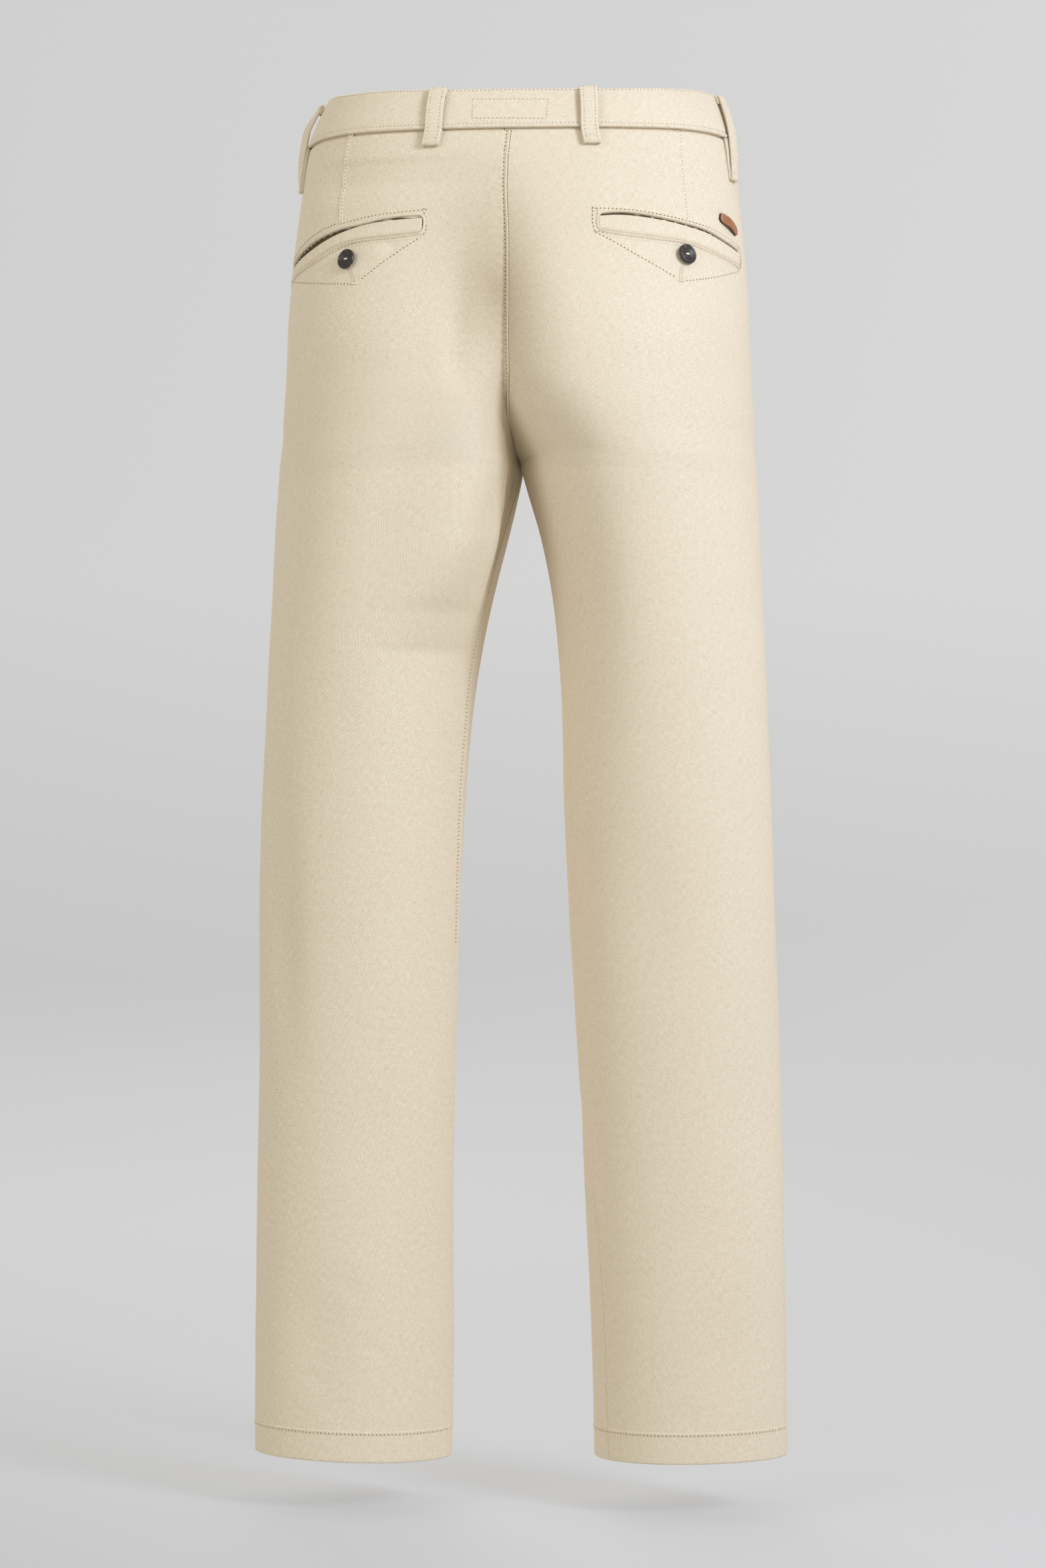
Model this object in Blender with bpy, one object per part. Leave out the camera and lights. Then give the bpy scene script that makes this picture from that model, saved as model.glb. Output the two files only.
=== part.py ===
"""Chino trousers, filled out and hollow, with the waist's rim around the origin.

The front faces -Y and the back +Y. The wearer's left is +X. Heights are below the rim.
"""
import math
from bisect import bisect_right

import bmesh
import bpy
from mathutils import Matrix, Vector

# Driving sizes, in metres
MM = 0.001
SEAM_GAP = 0.3 * MM
LAP_GAP = 0.7 * MM
CLOTH_WALL = 1.5 * MM
BAND_HEIGHT = 42 * MM
BAND_WALL = 3.0 * MM
BAND_PROUD = 1.7 * MM
HEM_DEPTH = 20 * MM
HEM_WALL = 3.0 * MM
CROTCH_DROP = 288 * MM
LEG_JOIN_DROP = 430 * MM
LEG_LENGTH = {"left": 1037 * MM, "right": 1034 * MM}
HEM_SLANT = 2 * MM
HEM_SLANT_FROM = 900 * MM
RIM_DIP = {"back": 12 * MM, "front": 12 * MM, "left": 2 * MM, "right": 6 * MM}
BAND_FOOT_DIP = {"back": 4 * MM, "front": 6 * MM, "left": 5 * MM, "right": 3 * MM}
DIP_FADES_AT = 100 * MM
SQUARENESS = 0.18
WIDEST_LOBE = 200 * MM
ROUND_FROM_DROP = 290 * MM
OUTSEAM_ANGLE = 104.0
SIDES = {"left": 1, "right": -1}

HAND_POCKET_DROP = 200 * MM
HAND_POCKET_SET_IN = 19.0
HAND_POCKET_UNDER = 7.0
HAND_POCKET_TAIL = 8 * MM
POCKET_SIDE_MARGIN = 1.0

WELT_HEIGHT = 12 * MM
WELT_WALL = 1.2 * MM
LOOP_WIDTH = 13 * MM
LOOP_WALL = 2.2 * MM
BUTTON_RADIUS = 7.6 * MM
BUTTON_THICKNESS = 3.0 * MM
BUTTON_HOLE_RADIUS = 0.9 * MM
BUTTON_HOLE_SPACING = 3.6 * MM
TAB_WALL = 1.6 * MM

# Sections, in millimetres. Each row is the whole girth at one drop below the rim, its first column.
# An angle of 0 is the back, 90 the outer side, 180 the front and 270 the inner side of a leg.
#   out         how far out the side reaches
#   in_left/right  the inner side of each leg
#   seat_lobe, fly_lobe  x of the rearmost and foremost point, where a leg is not yet a closed tube
#   mid, in_mid y of the outermost and innermost points
#   back, front y of the rearmost and foremost points
#   seat, fly   y of the centre-back and centre-front seams
SECTION_COLUMNS = (
    "at", "out", "in_left", "in_right", "seat_lobe", "fly_lobe",
    "mid", "in_mid", "back", "seat", "front", "fly",
)
SECTIONS = (
    (0, 149, 0, 0, 0, 0, -20, 0, 104, 104, -128, -128),
    (42, 161, 0, 0, 0, 0, 8, 0, 121, 121, -128, -128),
    (88, 166, 0, 0, 20, 0, 22, 0, 127, 126, -126, -126),
    (126, 170, 0, 0, 40, 0, 29, 0, 133, 129, -121, -121),
    (177, 174, 0, 0, 55, 0, 31, 0, 149, 140, -112, -112),
    (200, 175, 0, 0, 60, 12, 31, 0, 154, 144, -106, -106),
    (225, 176, 0, 0, 64, 37, 31, 0, 156, 144, -99, -96),
    (240, 177, 0, 0, 68, 50, 31, 0, 157, 137, -95, -87),
    (255, 178, 0, 0, 74, 66, 31, 0, 156, 120, -91, -70),
    (268, 178, 0, 0, 80, 78, 32, 0, 153, 90, -86, -50),
    (279, 179, 0, 0, 86, 87, 33, 0, 150, 52, -83, -26),
    (288, 180, 0, 0, 90, 90, 34, 0, 147, 0, -80, 0),
    (304, 181, 3, 4, 92, 92, 36, -2, 144, -2, -77, -2),
    (342, 183, 12, 15, 97, 97, 40, -2, 138, -2, -70, -2),
    (393, 185, 24, 25, 104, 104, 44, 5, 130, 5, -62, 5),
    (444, 188, 32, 31, 109, 109, 46, 20, 122, 20, -53, 20),
    (495, 190, 37, 34, 112, 112, 47, 30, 115, 30, -45, 30),
    (545, 192, 41, 35, 115, 115, 45, 32, 110, 32, -38, 32),
    (647, 195, 46, 40, 118, 118, 38, 30, 97, 30, -28, 30),
    (749, 198, 49, 46, 122, 122, 30, 25, 86, 25, -25, 25),
    (850, 200, 51, 50, 124, 124, 29, 16, 78, 16, -26, 16),
    (953, 202, 52, 54, 126, 126, 26, 9, 73, 9, -27, 9),
    (1042, 203, 54, 56, 128, 128, 23, 8, 70, 8, -28, 8),
)

# Angle of the inseam, in degrees, at some drops: it turns as it runs down the leg
INSEAM_COLUMNS = ("at", "left", "right")
INSEAM = (
    (288, 270, 270),
    (350, 282, 268),
    (450, 282, 266),
    (650, 275, 268),
    (760, 272, 278),
    (850, 272, 300),
    (1042, 272, 306),
)

# Nominal radius, in millimetres, that turns an angle into a width of cloth across a fold
FOLD_RADIUS = 75

# The largest folds, each a soft trough (negative depth) or ridge down the cloth: angle at its top and
# foot, the drops of its top and foot, its half width and its depth in millimetres
FOLD_COLUMNS = ("side", "angle_top", "angle_foot", "top", "foot", "half_width", "depth")
FOLDS = (
    ("left", 62, 34, 430, 790, 17, -4.5),
    ("left", 84, 66, 470, 760, 16, 2.0),
    ("left", 330, 352, 690, 900, 22, -2.5),
    ("left", 20, 12, 880, 1010, 22, -2.0),
    ("left", 350, 330, 130, 250, 16, -2.5),
    ("right", 60, 40, 640, 900, 24, -2.0),
    ("right", 350, 356, 520, 720, 26, -2.0),
    ("right", 30, 20, 900, 1010, 22, -1.5),
    ("left", 150, 170, 540, 700, 22, -3.0),
    ("right", 150, 172, 560, 720, 22, -3.0),
    ("left", 205, 190, 600, 860, 20, -2.0),
    ("right", 200, 185, 620, 840, 20, -2.0),
)


def as_columns(names, rows):
    """Turn a table's rows into one list for each named column."""
    return {name: [row[place] for row in rows] for place, name in enumerate(names)}


def smooth_reading(table, name, place):
    """Read a column at a place, along a smooth curve through the table's rows."""
    places = table["at"]
    values = table[name]
    last = len(places) - 1
    place = min(max(place, places[0]), places[last])
    low = min(max(bisect_right(places, place) - 1, 0), last - 1)

    def slope(row):
        before = max(row - 1, 0)
        after = min(row + 1, last)
        return (values[after] - values[before]) / (places[after] - places[before])

    span = places[low + 1] - places[low]
    t = (place - places[low]) / span
    rise = t * t * (3 - 2 * t)
    start_pull = (t * t * t - 2 * t * t + t) * span * slope(low)
    end_pull = (t * t * t - t * t) * span * slope(low + 1)
    return values[low] * (1 - rise) + values[low + 1] * rise + start_pull + end_pull


SECTION_TABLE = as_columns(SECTION_COLUMNS, SECTIONS)
INSEAM_TABLE = as_columns(INSEAM_COLUMNS, INSEAM)


def soft_step(value):
    """Rise from 0 to 1 as value does, level at both ends."""
    value = min(max(value, 0.0), 1.0)
    return value * value * (3 - 2 * value)


def section(name, drop):
    """One section size, in metres, at a drop in metres."""
    return smooth_reading(SECTION_TABLE, name, drop / MM) * MM


def seam_share(drop, seam, reach):
    """How far out the centre seam lies, as a share of the reach of the lobe beside it."""
    middle = section("in_mid", drop)
    share = (section(seam, drop) - middle) / (section(reach, drop) - middle)
    return min(max(share, 0.0), 1.0)


def start_angle(side, drop):
    """Angle where the back panel starts, at the centre-back seam or the inseam."""
    if drop >= CROTCH_DROP:
        return smooth_reading(INSEAM_TABLE, side, drop / MM) - 360
    return -math.degrees(math.acos(seam_share(drop, "seat", "back")))


def end_angle(side, drop):
    """Angle where the front panel ends, at the centre-front seam or the inseam."""
    if drop >= CROTCH_DROP:
        return smooth_reading(INSEAM_TABLE, side, drop / MM)
    return 180 + math.degrees(math.acos(seam_share(drop, "fly", "front")))


def fold_height(side, angle, drop):
    """How far the folds raise the cloth at a place."""
    height = 0.0
    for row in FOLDS:
        fold = dict(zip(FOLD_COLUMNS, row))
        along = (drop / MM - fold["top"]) / (fold["foot"] - fold["top"])
        if fold["side"] != side or not 0 < along < 1:
            continue
        centre = fold["angle_top"] + (fold["angle_foot"] - fold["angle_top"]) * along
        aside = (angle - centre + 180) % 360 - 180
        across = math.radians(aside) * FOLD_RADIUS / fold["half_width"]
        height += fold["depth"] * MM * math.exp(-across * across) * math.sin(math.pi * along) ** 2
    return height


def rim_dip(side, sideways, rearward, drop):
    """How far the rim and the band's foot hang below a level ring."""
    end = "back" if rearward >= 0 else "front"
    along = min(drop / BAND_HEIGHT, 1.0)
    ends = RIM_DIP[end] + (BAND_FOOT_DIP[end] - RIM_DIP[end]) * along
    flank = RIM_DIP[side] + (BAND_FOOT_DIP[side] - RIM_DIP[side]) * along
    fade = 1 - soft_step((drop - BAND_HEIGHT) / (DIP_FADES_AT - BAND_HEIGHT))
    return (ends * rearward ** 2 + flank * sideways ** 8) * fade


def tube_point(side, angle, drop):
    """Point of the cloth's outer face, before its folds."""
    turn = math.radians(angle)
    sideways = math.sin(turn)
    rearward = math.cos(turn)
    at_back = rearward >= 0
    reach = section("back" if at_back else "front", drop)
    lobe_name = "seat_lobe" if at_back else "fly_lobe"
    if drop >= CROTCH_DROP:
        inner = max(section("in_" + side, drop), 0.0)
        lobe = (section("out", drop) + inner) / 2
        inner_reach = lobe - inner
    else:
        seam, edge = ("seat", "back") if at_back else ("fly", "front")
        share = seam_share(drop, seam, edge)
        set_back = math.sqrt(max(1 - share * share, 1e-8))
        lobe = min(max(section(lobe_name, drop), 0.0), WIDEST_LOBE * set_back)
        inner_reach = lobe / set_back
    if sideways >= 0:
        power = 1 - SQUARENESS * (1 - soft_step(drop / ROUND_FROM_DROP))
        x = lobe + (section("out", drop) - lobe) * sideways ** power
        middle = section("mid", drop)
        depth_share = abs(rearward) ** power
    else:
        x = lobe + inner_reach * sideways
        middle = section("in_mid", drop)
        depth_share = abs(rearward)
    y = middle + (reach - middle) * depth_share
    z = -drop - rim_dip(side, sideways, rearward, drop)
    z += HEM_SLANT * sideways * soft_step((drop - HEM_SLANT_FROM) / (LEG_LENGTH[side] - HEM_SLANT_FROM))
    return Vector((SIDES[side] * (max(x, 0.0) + SEAM_GAP / 2), y, z))


def normal_at(side, angle, drop):
    """Outward normal of the cloth, from its slopes round the girth and down it."""
    low = max(angle - 0.6, start_angle(side, drop))
    high = min(angle + 0.6, end_angle(side, drop))
    around = tube_point(side, high, drop) - tube_point(side, low, drop)
    down_to = min(drop + 2 * MM, SECTIONS[-1][0] * MM)
    down = tube_point(side, angle, down_to) - tube_point(side, angle, max(down_to - 4 * MM, 0))
    return (around.cross(down) * SIDES[side]).normalized()


def cloth_point(side, angle, drop, lift=0.0):
    """Point at a height over the cloth's outer face, folds included."""
    point = tube_point(side, angle, drop)
    rise = lift + fold_height(side, angle, drop)
    if rise:
        point = point + normal_at(side, angle, drop) * rise
    point.x = SIDES[side] * max(SIDES[side] * point.x, SEAM_GAP / 2)
    return point


def girth_speed(side, angle, drop):
    """Metres along the girth for one degree."""
    return (tube_point(side, angle + 0.5, drop) - tube_point(side, angle - 0.5, drop)).length


def make_material(name, colour, roughness, metallic=0.0):
    material = bpy.data.materials.new(name)
    material.use_nodes = True
    shader = material.node_tree.nodes["Principled BSDF"]
    shader.inputs["Base Color"].default_value = (*colour, 1)
    shader.inputs["Roughness"].default_value = roughness
    shader.inputs["Metallic"].default_value = metallic
    return material


def add_object(name, points, faces, material, sharp_angle=35):
    """Make one named object of a mesh whose faces all point outward."""
    mesh = bpy.data.meshes.new(name)
    mesh.from_pydata([tuple(point) for point in points], [], faces)
    shell = bmesh.new()
    shell.from_mesh(mesh)
    bmesh.ops.recalc_face_normals(shell, faces=shell.faces)
    if shell.calc_volume(signed=True) < 0:
        bmesh.ops.reverse_faces(shell, faces=shell.faces)
    shell.to_mesh(mesh)
    shell.free()
    mesh.materials.append(material)
    mesh.shade_smooth()
    mesh.set_sharp_from_angle(angle=math.radians(sharp_angle))
    thing = bpy.data.objects.new(name, mesh)
    bpy.context.collection.objects.link(thing)
    return thing


def wall_object(name, outer, inner, material):
    """Close the space between two grids of points into one wall."""
    rows = len(outer)
    columns = len(outer[0])
    points = [point for row in outer for point in row] + [point for row in inner for point in row]
    inside = rows * columns

    def place(row, column):
        return row * columns + column

    faces = []
    for row in range(rows - 1):
        for column in range(columns - 1):
            corners = (
                place(row, column),
                place(row, column + 1),
                place(row + 1, column + 1),
                place(row + 1, column),
            )
            faces.append(corners)
            faces.append(tuple(inside + corner for corner in reversed(corners)))
    rim = [place(0, column) for column in range(columns)]
    rim += [place(row, columns - 1) for row in range(1, rows)]
    rim += [place(rows - 1, column) for column in range(columns - 2, -1, -1)]
    rim += [place(row, 0) for row in range(rows - 2, 0, -1)]
    for here, there in zip(rim, rim[1:] + rim[:1]):
        faces.append((here, inside + here, inside + there, there))
    return add_object(name, points, faces, material)


def tube_object(name, rings, material):
    """Join closed rings of points in a row, with a cap at each end."""
    count = len(rings[0])
    points = [point for ring in rings for point in ring]
    faces = []
    for ring in range(len(rings) - 1):
        for spot in range(count):
            after = (spot + 1) % count
            start = ring * count
            faces.append((start + spot, start + after, start + count + after, start + count + spot))
    faces.append(tuple(range(count - 1, -1, -1)))
    faces.append(tuple(range((len(rings) - 1) * count, len(rings) * count)))
    return add_object(name, points, faces, material)


# Panels ------------------------------------------------------------------------------------------
SEAM_ROWS = 16
THIGH_ROWS = 6
LEG_ROWS = 20
CROTCH_OUTSIDE_DROP = 305 * MM


def seam_drops(seam):
    """Drops from the band to the crotch that part a centre seam into equal lengths."""
    samples = 240
    first = BAND_HEIGHT + SEAM_GAP
    drops = [first + (CROTCH_DROP - first) * step / samples for step in range(samples + 1)]
    lengths = [0.0]
    for here, there in zip(drops, drops[1:]):
        side_step = section(seam, there) - section(seam, here)
        lengths.append(lengths[-1] + math.hypot(side_step, there - here))
    picked = []
    for row in range(SEAM_ROWS + 1):
        wanted = lengths[-1] * row / SEAM_ROWS
        place = min(max(bisect_right(lengths, wanted) - 1, 0), samples - 1)
        part = (wanted - lengths[place]) / (lengths[place + 1] - lengths[place])
        picked.append(drops[place] + (drops[place + 1] - drops[place]) * part)
    picked[-1] = CROTCH_DROP
    return picked


def panel_rows(side, seam):
    """Drop of each row of a panel at its inner seam and at its outseam."""
    first = BAND_HEIGHT + SEAM_GAP
    inner = seam_drops(seam)
    outer = [first + (CROTCH_OUTSIDE_DROP - first) * row / SEAM_ROWS for row in range(SEAM_ROWS + 1)]
    for row in range(1, THIGH_ROWS + 1):
        part = row / THIGH_ROWS
        inner.append(CROTCH_DROP + (LEG_JOIN_DROP - CROTCH_DROP) * part ** 1.5)
        outer.append(CROTCH_OUTSIDE_DROP + (LEG_JOIN_DROP - CROTCH_OUTSIDE_DROP) * part)
    hem_top = LEG_LENGTH[side] - HEM_DEPTH
    for row in range(1, LEG_ROWS + 1):
        drop = LEG_JOIN_DROP + (hem_top - LEG_JOIN_DROP) * row / LEG_ROWS
        inner.append(drop)
        outer.append(drop)
    for drop in (hem_top + 0.5 * MM, LEG_LENGTH[side]):
        inner.append(drop)
        outer.append(drop)
    return list(zip(inner, outer))


def hand_pocket_angle(drop):
    """Angle of the hand pocket's slanting mouth, which meets the outseam at its foot."""
    part = (HAND_POCKET_DROP - drop) / (HAND_POCKET_DROP - BAND_HEIGHT)
    return OUTSEAM_ANGLE + HAND_POCKET_SET_IN * max(part, 0.0)


def panel_object(name, side, seam, columns, seam_angle, edge_angle, material):
    """A front or back panel, from its inner seam to its outer edge."""
    outer_grid = []
    inner_grid = []
    for inner_drop, outer_drop in panel_rows(side, seam):
        outer_row = []
        inner_row = []
        for column in range(columns + 1):
            part = column / columns
            drop = outer_drop + (inner_drop - outer_drop) * (1 - part) ** 1.5
            start = seam_angle(side, drop)
            edge = edge_angle(drop)
            toward = 1 if edge > start else -1
            clear = toward * SEAM_GAP / 2 / girth_speed(side, edge, drop)
            edge -= clear
            if drop >= CROTCH_DROP:
                start += clear
            angle = start + (edge - start) * part
            wall = HEM_WALL if drop > LEG_LENGTH[side] - HEM_DEPTH + 0.2 * MM else CLOTH_WALL
            outer_row.append(cloth_point(side, angle, drop))
            inner_row.append(cloth_point(side, angle, drop, -wall))
        outer_grid.append(outer_row)
        inner_grid.append(inner_row)
    return wall_object(name, outer_grid, inner_grid, material)


def make_panels(twill):
    for side in SIDES:
        panel_object(
            "back_" + side, side, "seat", 13, start_angle, lambda drop: OUTSEAM_ANGLE, twill
        )
        panel_object("front_" + side, side, "fly", 11, end_angle, hand_pocket_angle, twill)


def make_pocket_side(side, twill):
    """The piece seen in the hand pocket's mouth, which runs on under the front panel."""
    rows = 10
    columns = 6
    under = CLOTH_WALL + LAP_GAP
    outer_grid = []
    inner_grid = []
    top = BAND_HEIGHT + SEAM_GAP
    foot = HAND_POCKET_DROP + HAND_POCKET_TAIL
    for row in range(rows + 1):
        drop = top + (foot - top) * row / rows
        start = OUTSEAM_ANGLE + SEAM_GAP / 2 / girth_speed(side, OUTSEAM_ANGLE, drop)
        mouth = hand_pocket_angle(drop)
        end = mouth + HAND_POCKET_UNDER
        outer_row = []
        inner_row = []
        for column in range(columns + 1):
            angle = start + (end - start) * column / columns
            ramp = mouth - POCKET_SIDE_MARGIN - start
            sink = under * soft_step((angle - start) / ramp) if ramp > 0 else under
            outer_row.append(cloth_point(side, angle, drop, -sink))
            inner_row.append(cloth_point(side, angle, drop, -sink - CLOTH_WALL))
        outer_grid.append(outer_row)
        inner_grid.append(inner_row)
    wall_object("pocket_side_" + side, outer_grid, inner_grid, twill)


def front_point(turn, drop, lift):
    """Point near the centre front: a positive turn is to the wearer's right."""
    side = "right" if turn >= 0 else "left"
    return cloth_point(side, 180 - abs(turn), drop, lift)


FLY_SHIELD_TURNS = (-4.0, 13.0)
FLY_SHIELD_FOOT = 198 * MM


def make_fly_shield(twill):
    """The underlap behind the centre front."""
    rows = 8
    columns = 6
    left_turn, right_turn = FLY_SHIELD_TURNS
    top = BAND_HEIGHT + SEAM_GAP
    sink = CLOTH_WALL + LAP_GAP
    grids = []
    for lift in (-sink, -sink - CLOTH_WALL):
        grids.append([
            [
                front_point(
                    left_turn + (right_turn - left_turn) * column / columns,
                    top + (FLY_SHIELD_FOOT - top) * row / rows,
                    lift,
                )
                for column in range(columns + 1)
            ]
            for row in range(rows + 1)
        ])
    wall_object("fly_shield", grids[0], grids[1], twill)


# Waistband ---------------------------------------------------------------------------------------
BAND_COLUMNS = 80
BAND_LEFT_END = 2.0
BAND_UNDERLAP = 13.0
BAND_RAMP_FROM = 12.0
BAND_RAMP_TO = 3.5


def band_profile():
    """Drop and lift of the band's outline, which is folded round at the rim."""
    out = BAND_PROUD
    inside = BAND_PROUD - BAND_WALL
    return (
        (BAND_HEIGHT, out),
        (BAND_HEIGHT * 0.66, out),
        (BAND_HEIGHT * 0.33, out),
        (1.2 * MM, out),
        (0.3 * MM, out - 0.5 * MM),
        (0.0, out - 1.2 * MM),
        (0.3 * MM, inside + 0.5 * MM),
        (1.2 * MM, inside),
        (BAND_HEIGHT * 0.33, inside),
        (BAND_HEIGHT * 0.66, inside),
        (BAND_HEIGHT, inside),
    )


def make_waistband(twill):
    """One ring from its lapped left end, round the back, to its underlap behind that end."""
    rings = []
    first = -BAND_LEFT_END
    total = 360 + BAND_LEFT_END + BAND_UNDERLAP
    for column in range(BAND_COLUMNS + 1):
        turn = first + total * column / BAND_COLUMNS
        to_end = 360 - turn
        sink = (BAND_WALL + SEAM_GAP) * soft_step(
            (BAND_RAMP_FROM - to_end) / (BAND_RAMP_FROM - BAND_RAMP_TO)
        )
        ring = []
        for drop, lift in band_profile():
            if turn <= 0:
                point = cloth_point("right", 180 + turn, drop, lift)
            elif turn <= 180:
                point = cloth_point("left", 180 - turn, drop, lift)
            elif turn <= 360:
                point = cloth_point("right", turn - 180, drop, lift - sink)
            else:
                point = cloth_point("left", 180 - (turn - 360), drop, lift - sink)
            ring.append(point)
        rings.append(ring)
    tube_object("waistband", rings, twill)


# Belt loops --------------------------------------------------------------------------------------
# Angle at the band's foot, lean in degrees up to the rim, drop where the loop starts, how far it
# stands off the band, how low on it that is (1 is halfway) and how far it hangs below the band
LOOP_COLUMNS = ("name", "side", "angle", "lean", "start", "stand_off", "belly", "hang")
LOOPS = (
    ("loop_back_left", "left", 15.2, 0.6, 0.0, 1.0 * MM, 0.8, 13 * MM),
    ("loop_back_right", "right", 18.5, 0.4, 0.0, 1.0 * MM, 0.8, 13 * MM),
    ("loop_side_left", "left", 86.0, 0.0, 8 * MM, 8.5 * MM, 0.65, 32 * MM),
    ("loop_side_right", "right", 80.0, 0.0, 2 * MM, 6.0 * MM, 0.55, 32 * MM),
    ("loop_front_left", "left", 146.0, 0.0, 0.0, 1.2 * MM, 0.8, 13 * MM),
    ("loop_front_right", "right", 146.0, 0.0, 0.0, 1.2 * MM, 0.8, 13 * MM),
)
LOOP_FOLD = 8 * MM
LOOP_LAYER_GAP = 0.4 * MM


def loop_path(loop):
    """Drop and lift along a belt loop's middle, with its ends folded under."""
    start = loop["start"]
    seat = BAND_PROUD + SEAM_GAP + LOOP_WALL / 2
    layer = LOOP_WALL + LOOP_LAYER_GAP
    foot = BAND_HEIGHT + loop["hang"]
    top = start + 1.0 * MM
    panel_seat = SEAM_GAP + LOOP_WALL / 2
    path = [
        (start + LOOP_FOLD, seat),
        (top + 1.0 * MM, seat),
        (top, seat + layer / 2),
        (top + 1.0 * MM, seat + layer),
    ]
    steps = 8
    lower_lift = panel_seat + layer
    for step in range(1, steps):
        part = step / steps
        drop = top + 1.0 * MM + (foot - top - 2.0 * MM) * part
        base = seat + layer + (lower_lift - seat - layer) * soft_step(part)
        path.append((drop, base + loop["stand_off"] * math.sin(math.pi * part ** loop["belly"]) ** 0.8))
    path += [(foot - 0.8 * MM, lower_lift), (foot + 0.1 * MM, panel_seat + layer / 2)]
    return_steps = 4
    for step in range(return_steps + 1):
        drop = foot - 0.8 * MM + (BAND_HEIGHT + 2.0 * MM - foot) * step / return_steps
        path.append((drop, panel_seat))
    return path


def ribbon_outline(path, wall):
    """Closed outline, wall thick, round a line of (drop, lift) points."""
    left = []
    right = []
    for place, (drop, lift) in enumerate(path):
        before = path[max(place - 1, 0)]
        after = path[min(place + 1, len(path) - 1)]
        along = Vector((after[0] - before[0], after[1] - before[1])).normalized()
        aside = Vector((-along.y, along.x)) * wall / 2
        left.append((drop + aside.x, lift + aside.y))
        right.append((drop - aside.x, lift - aside.y))
    return left + right[::-1]


def make_loops(twill):
    for row in LOOPS:
        loop = dict(zip(LOOP_COLUMNS, row))
        outline = ribbon_outline(loop_path(loop), LOOP_WALL)
        rings = []
        for aside in (-0.5, 0.0, 0.5):
            ring = []
            for drop, lift in outline:
                drop = max(drop, 0.0)
                lean = loop["lean"] * (1 - drop / BAND_HEIGHT)
                angle = loop["angle"] + lean
                angle += aside * LOOP_WIDTH / girth_speed(loop["side"], angle, drop)
                ring.append(cloth_point(loop["side"], angle, drop, lift))
            rings.append(ring)
        tube_object(loop["name"], rings, twill)


# Back pockets ------------------------------------------------------------------------------------
# Middle line of a welt, from its inner end outward: its drop on each side, in millimetres, at an angle
WELT_COLUMNS = ("at", "left", "right")
WELT_LINE = as_columns(
    WELT_COLUMNS,
    (
        (8, 117, 116),
        (29, 119.5, 120.5),
        (46, 127, 124.5),
        (76, 142.5, 137),
    ),
)
WELT_ENDS = {"left": (7.5, 70.0), "right": (11.0, 75.5)}


def make_welts(twill):
    columns = 20
    rows = 3
    for side, (first, last) in WELT_ENDS.items():
        grids = []
        for lift in (SEAM_GAP + WELT_WALL, SEAM_GAP):
            grid = []
            for down in range(rows + 1):
                line = []
                for column in range(columns + 1):
                    angle = first + (last - first) * column / columns
                    middle = smooth_reading(WELT_LINE, side, angle) * MM
                    drop = middle + WELT_HEIGHT * (down / rows - 0.5)
                    line.append(cloth_point(side, angle, drop, lift))
                grid.append(line)
            grids.append(grid)
        wall_object("welt_" + side, grids[0], grids[1], twill)


# Buttons -----------------------------------------------------------------------------------------
BUTTON_COLUMNS = ("name", "side", "angle", "drop", "seat")
BUTTONS = (
    ("button_back_left", "left", 32.3, 141 * MM, 2 * SEAM_GAP),
    ("button_back_right", "right", 41.9, 140.5 * MM, 2 * SEAM_GAP),
    ("button_waist", "left", 174.0, 21 * MM, BAND_PROUD + SEAM_GAP + 0.3 * MM),
)


def button_mesh(horn):
    """A dished two-hole button, turned about its axis and then drilled."""
    half = BUTTON_THICKNESS / 2
    profile = (
        (0.0, -half),
        (0.62, -half),
        (0.92, -half * 0.45),
        (1.0, 0.1 * half),
        (0.97, 0.75 * half),
        (0.88, half),
        (0.74, 0.9 * half),
        (0.62, 0.35 * half),
        (0.0, 0.25 * half),
    )
    turned = bmesh.new()
    spots = [turned.verts.new((reach * BUTTON_RADIUS, 0, height)) for reach, height in profile]
    edges = [turned.edges.new(pair) for pair in zip(spots, spots[1:])]
    bmesh.ops.spin(
        turned,
        geom=spots + edges,
        cent=(0, 0, 0),
        axis=(0, 0, 1),
        angle=math.tau,
        steps=28,
        use_merge=True,
    )
    bmesh.ops.remove_doubles(turned, verts=turned.verts, dist=0.01 * MM)
    bmesh.ops.recalc_face_normals(turned, faces=turned.faces)
    mesh = bpy.data.meshes.new("button")
    turned.to_mesh(mesh)
    turned.free()
    mesh.materials.append(horn)
    return mesh


def button_cutter(name, place):
    """A round cutter for one thread hole."""
    cutter_mesh = bpy.data.meshes.new(name)
    pin = bmesh.new()
    bmesh.ops.create_cone(
        pin,
        cap_ends=True,
        segments=12,
        radius1=BUTTON_HOLE_RADIUS,
        radius2=BUTTON_HOLE_RADIUS,
        depth=BUTTON_THICKNESS * 2,
    )
    pin.to_mesh(cutter_mesh)
    pin.free()
    cutter = bpy.data.objects.new(name, cutter_mesh)
    bpy.context.collection.objects.link(cutter)
    cutter.matrix_world = place
    cutter.hide_render = True
    cutter.display_type = "WIRE"
    return cutter


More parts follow.
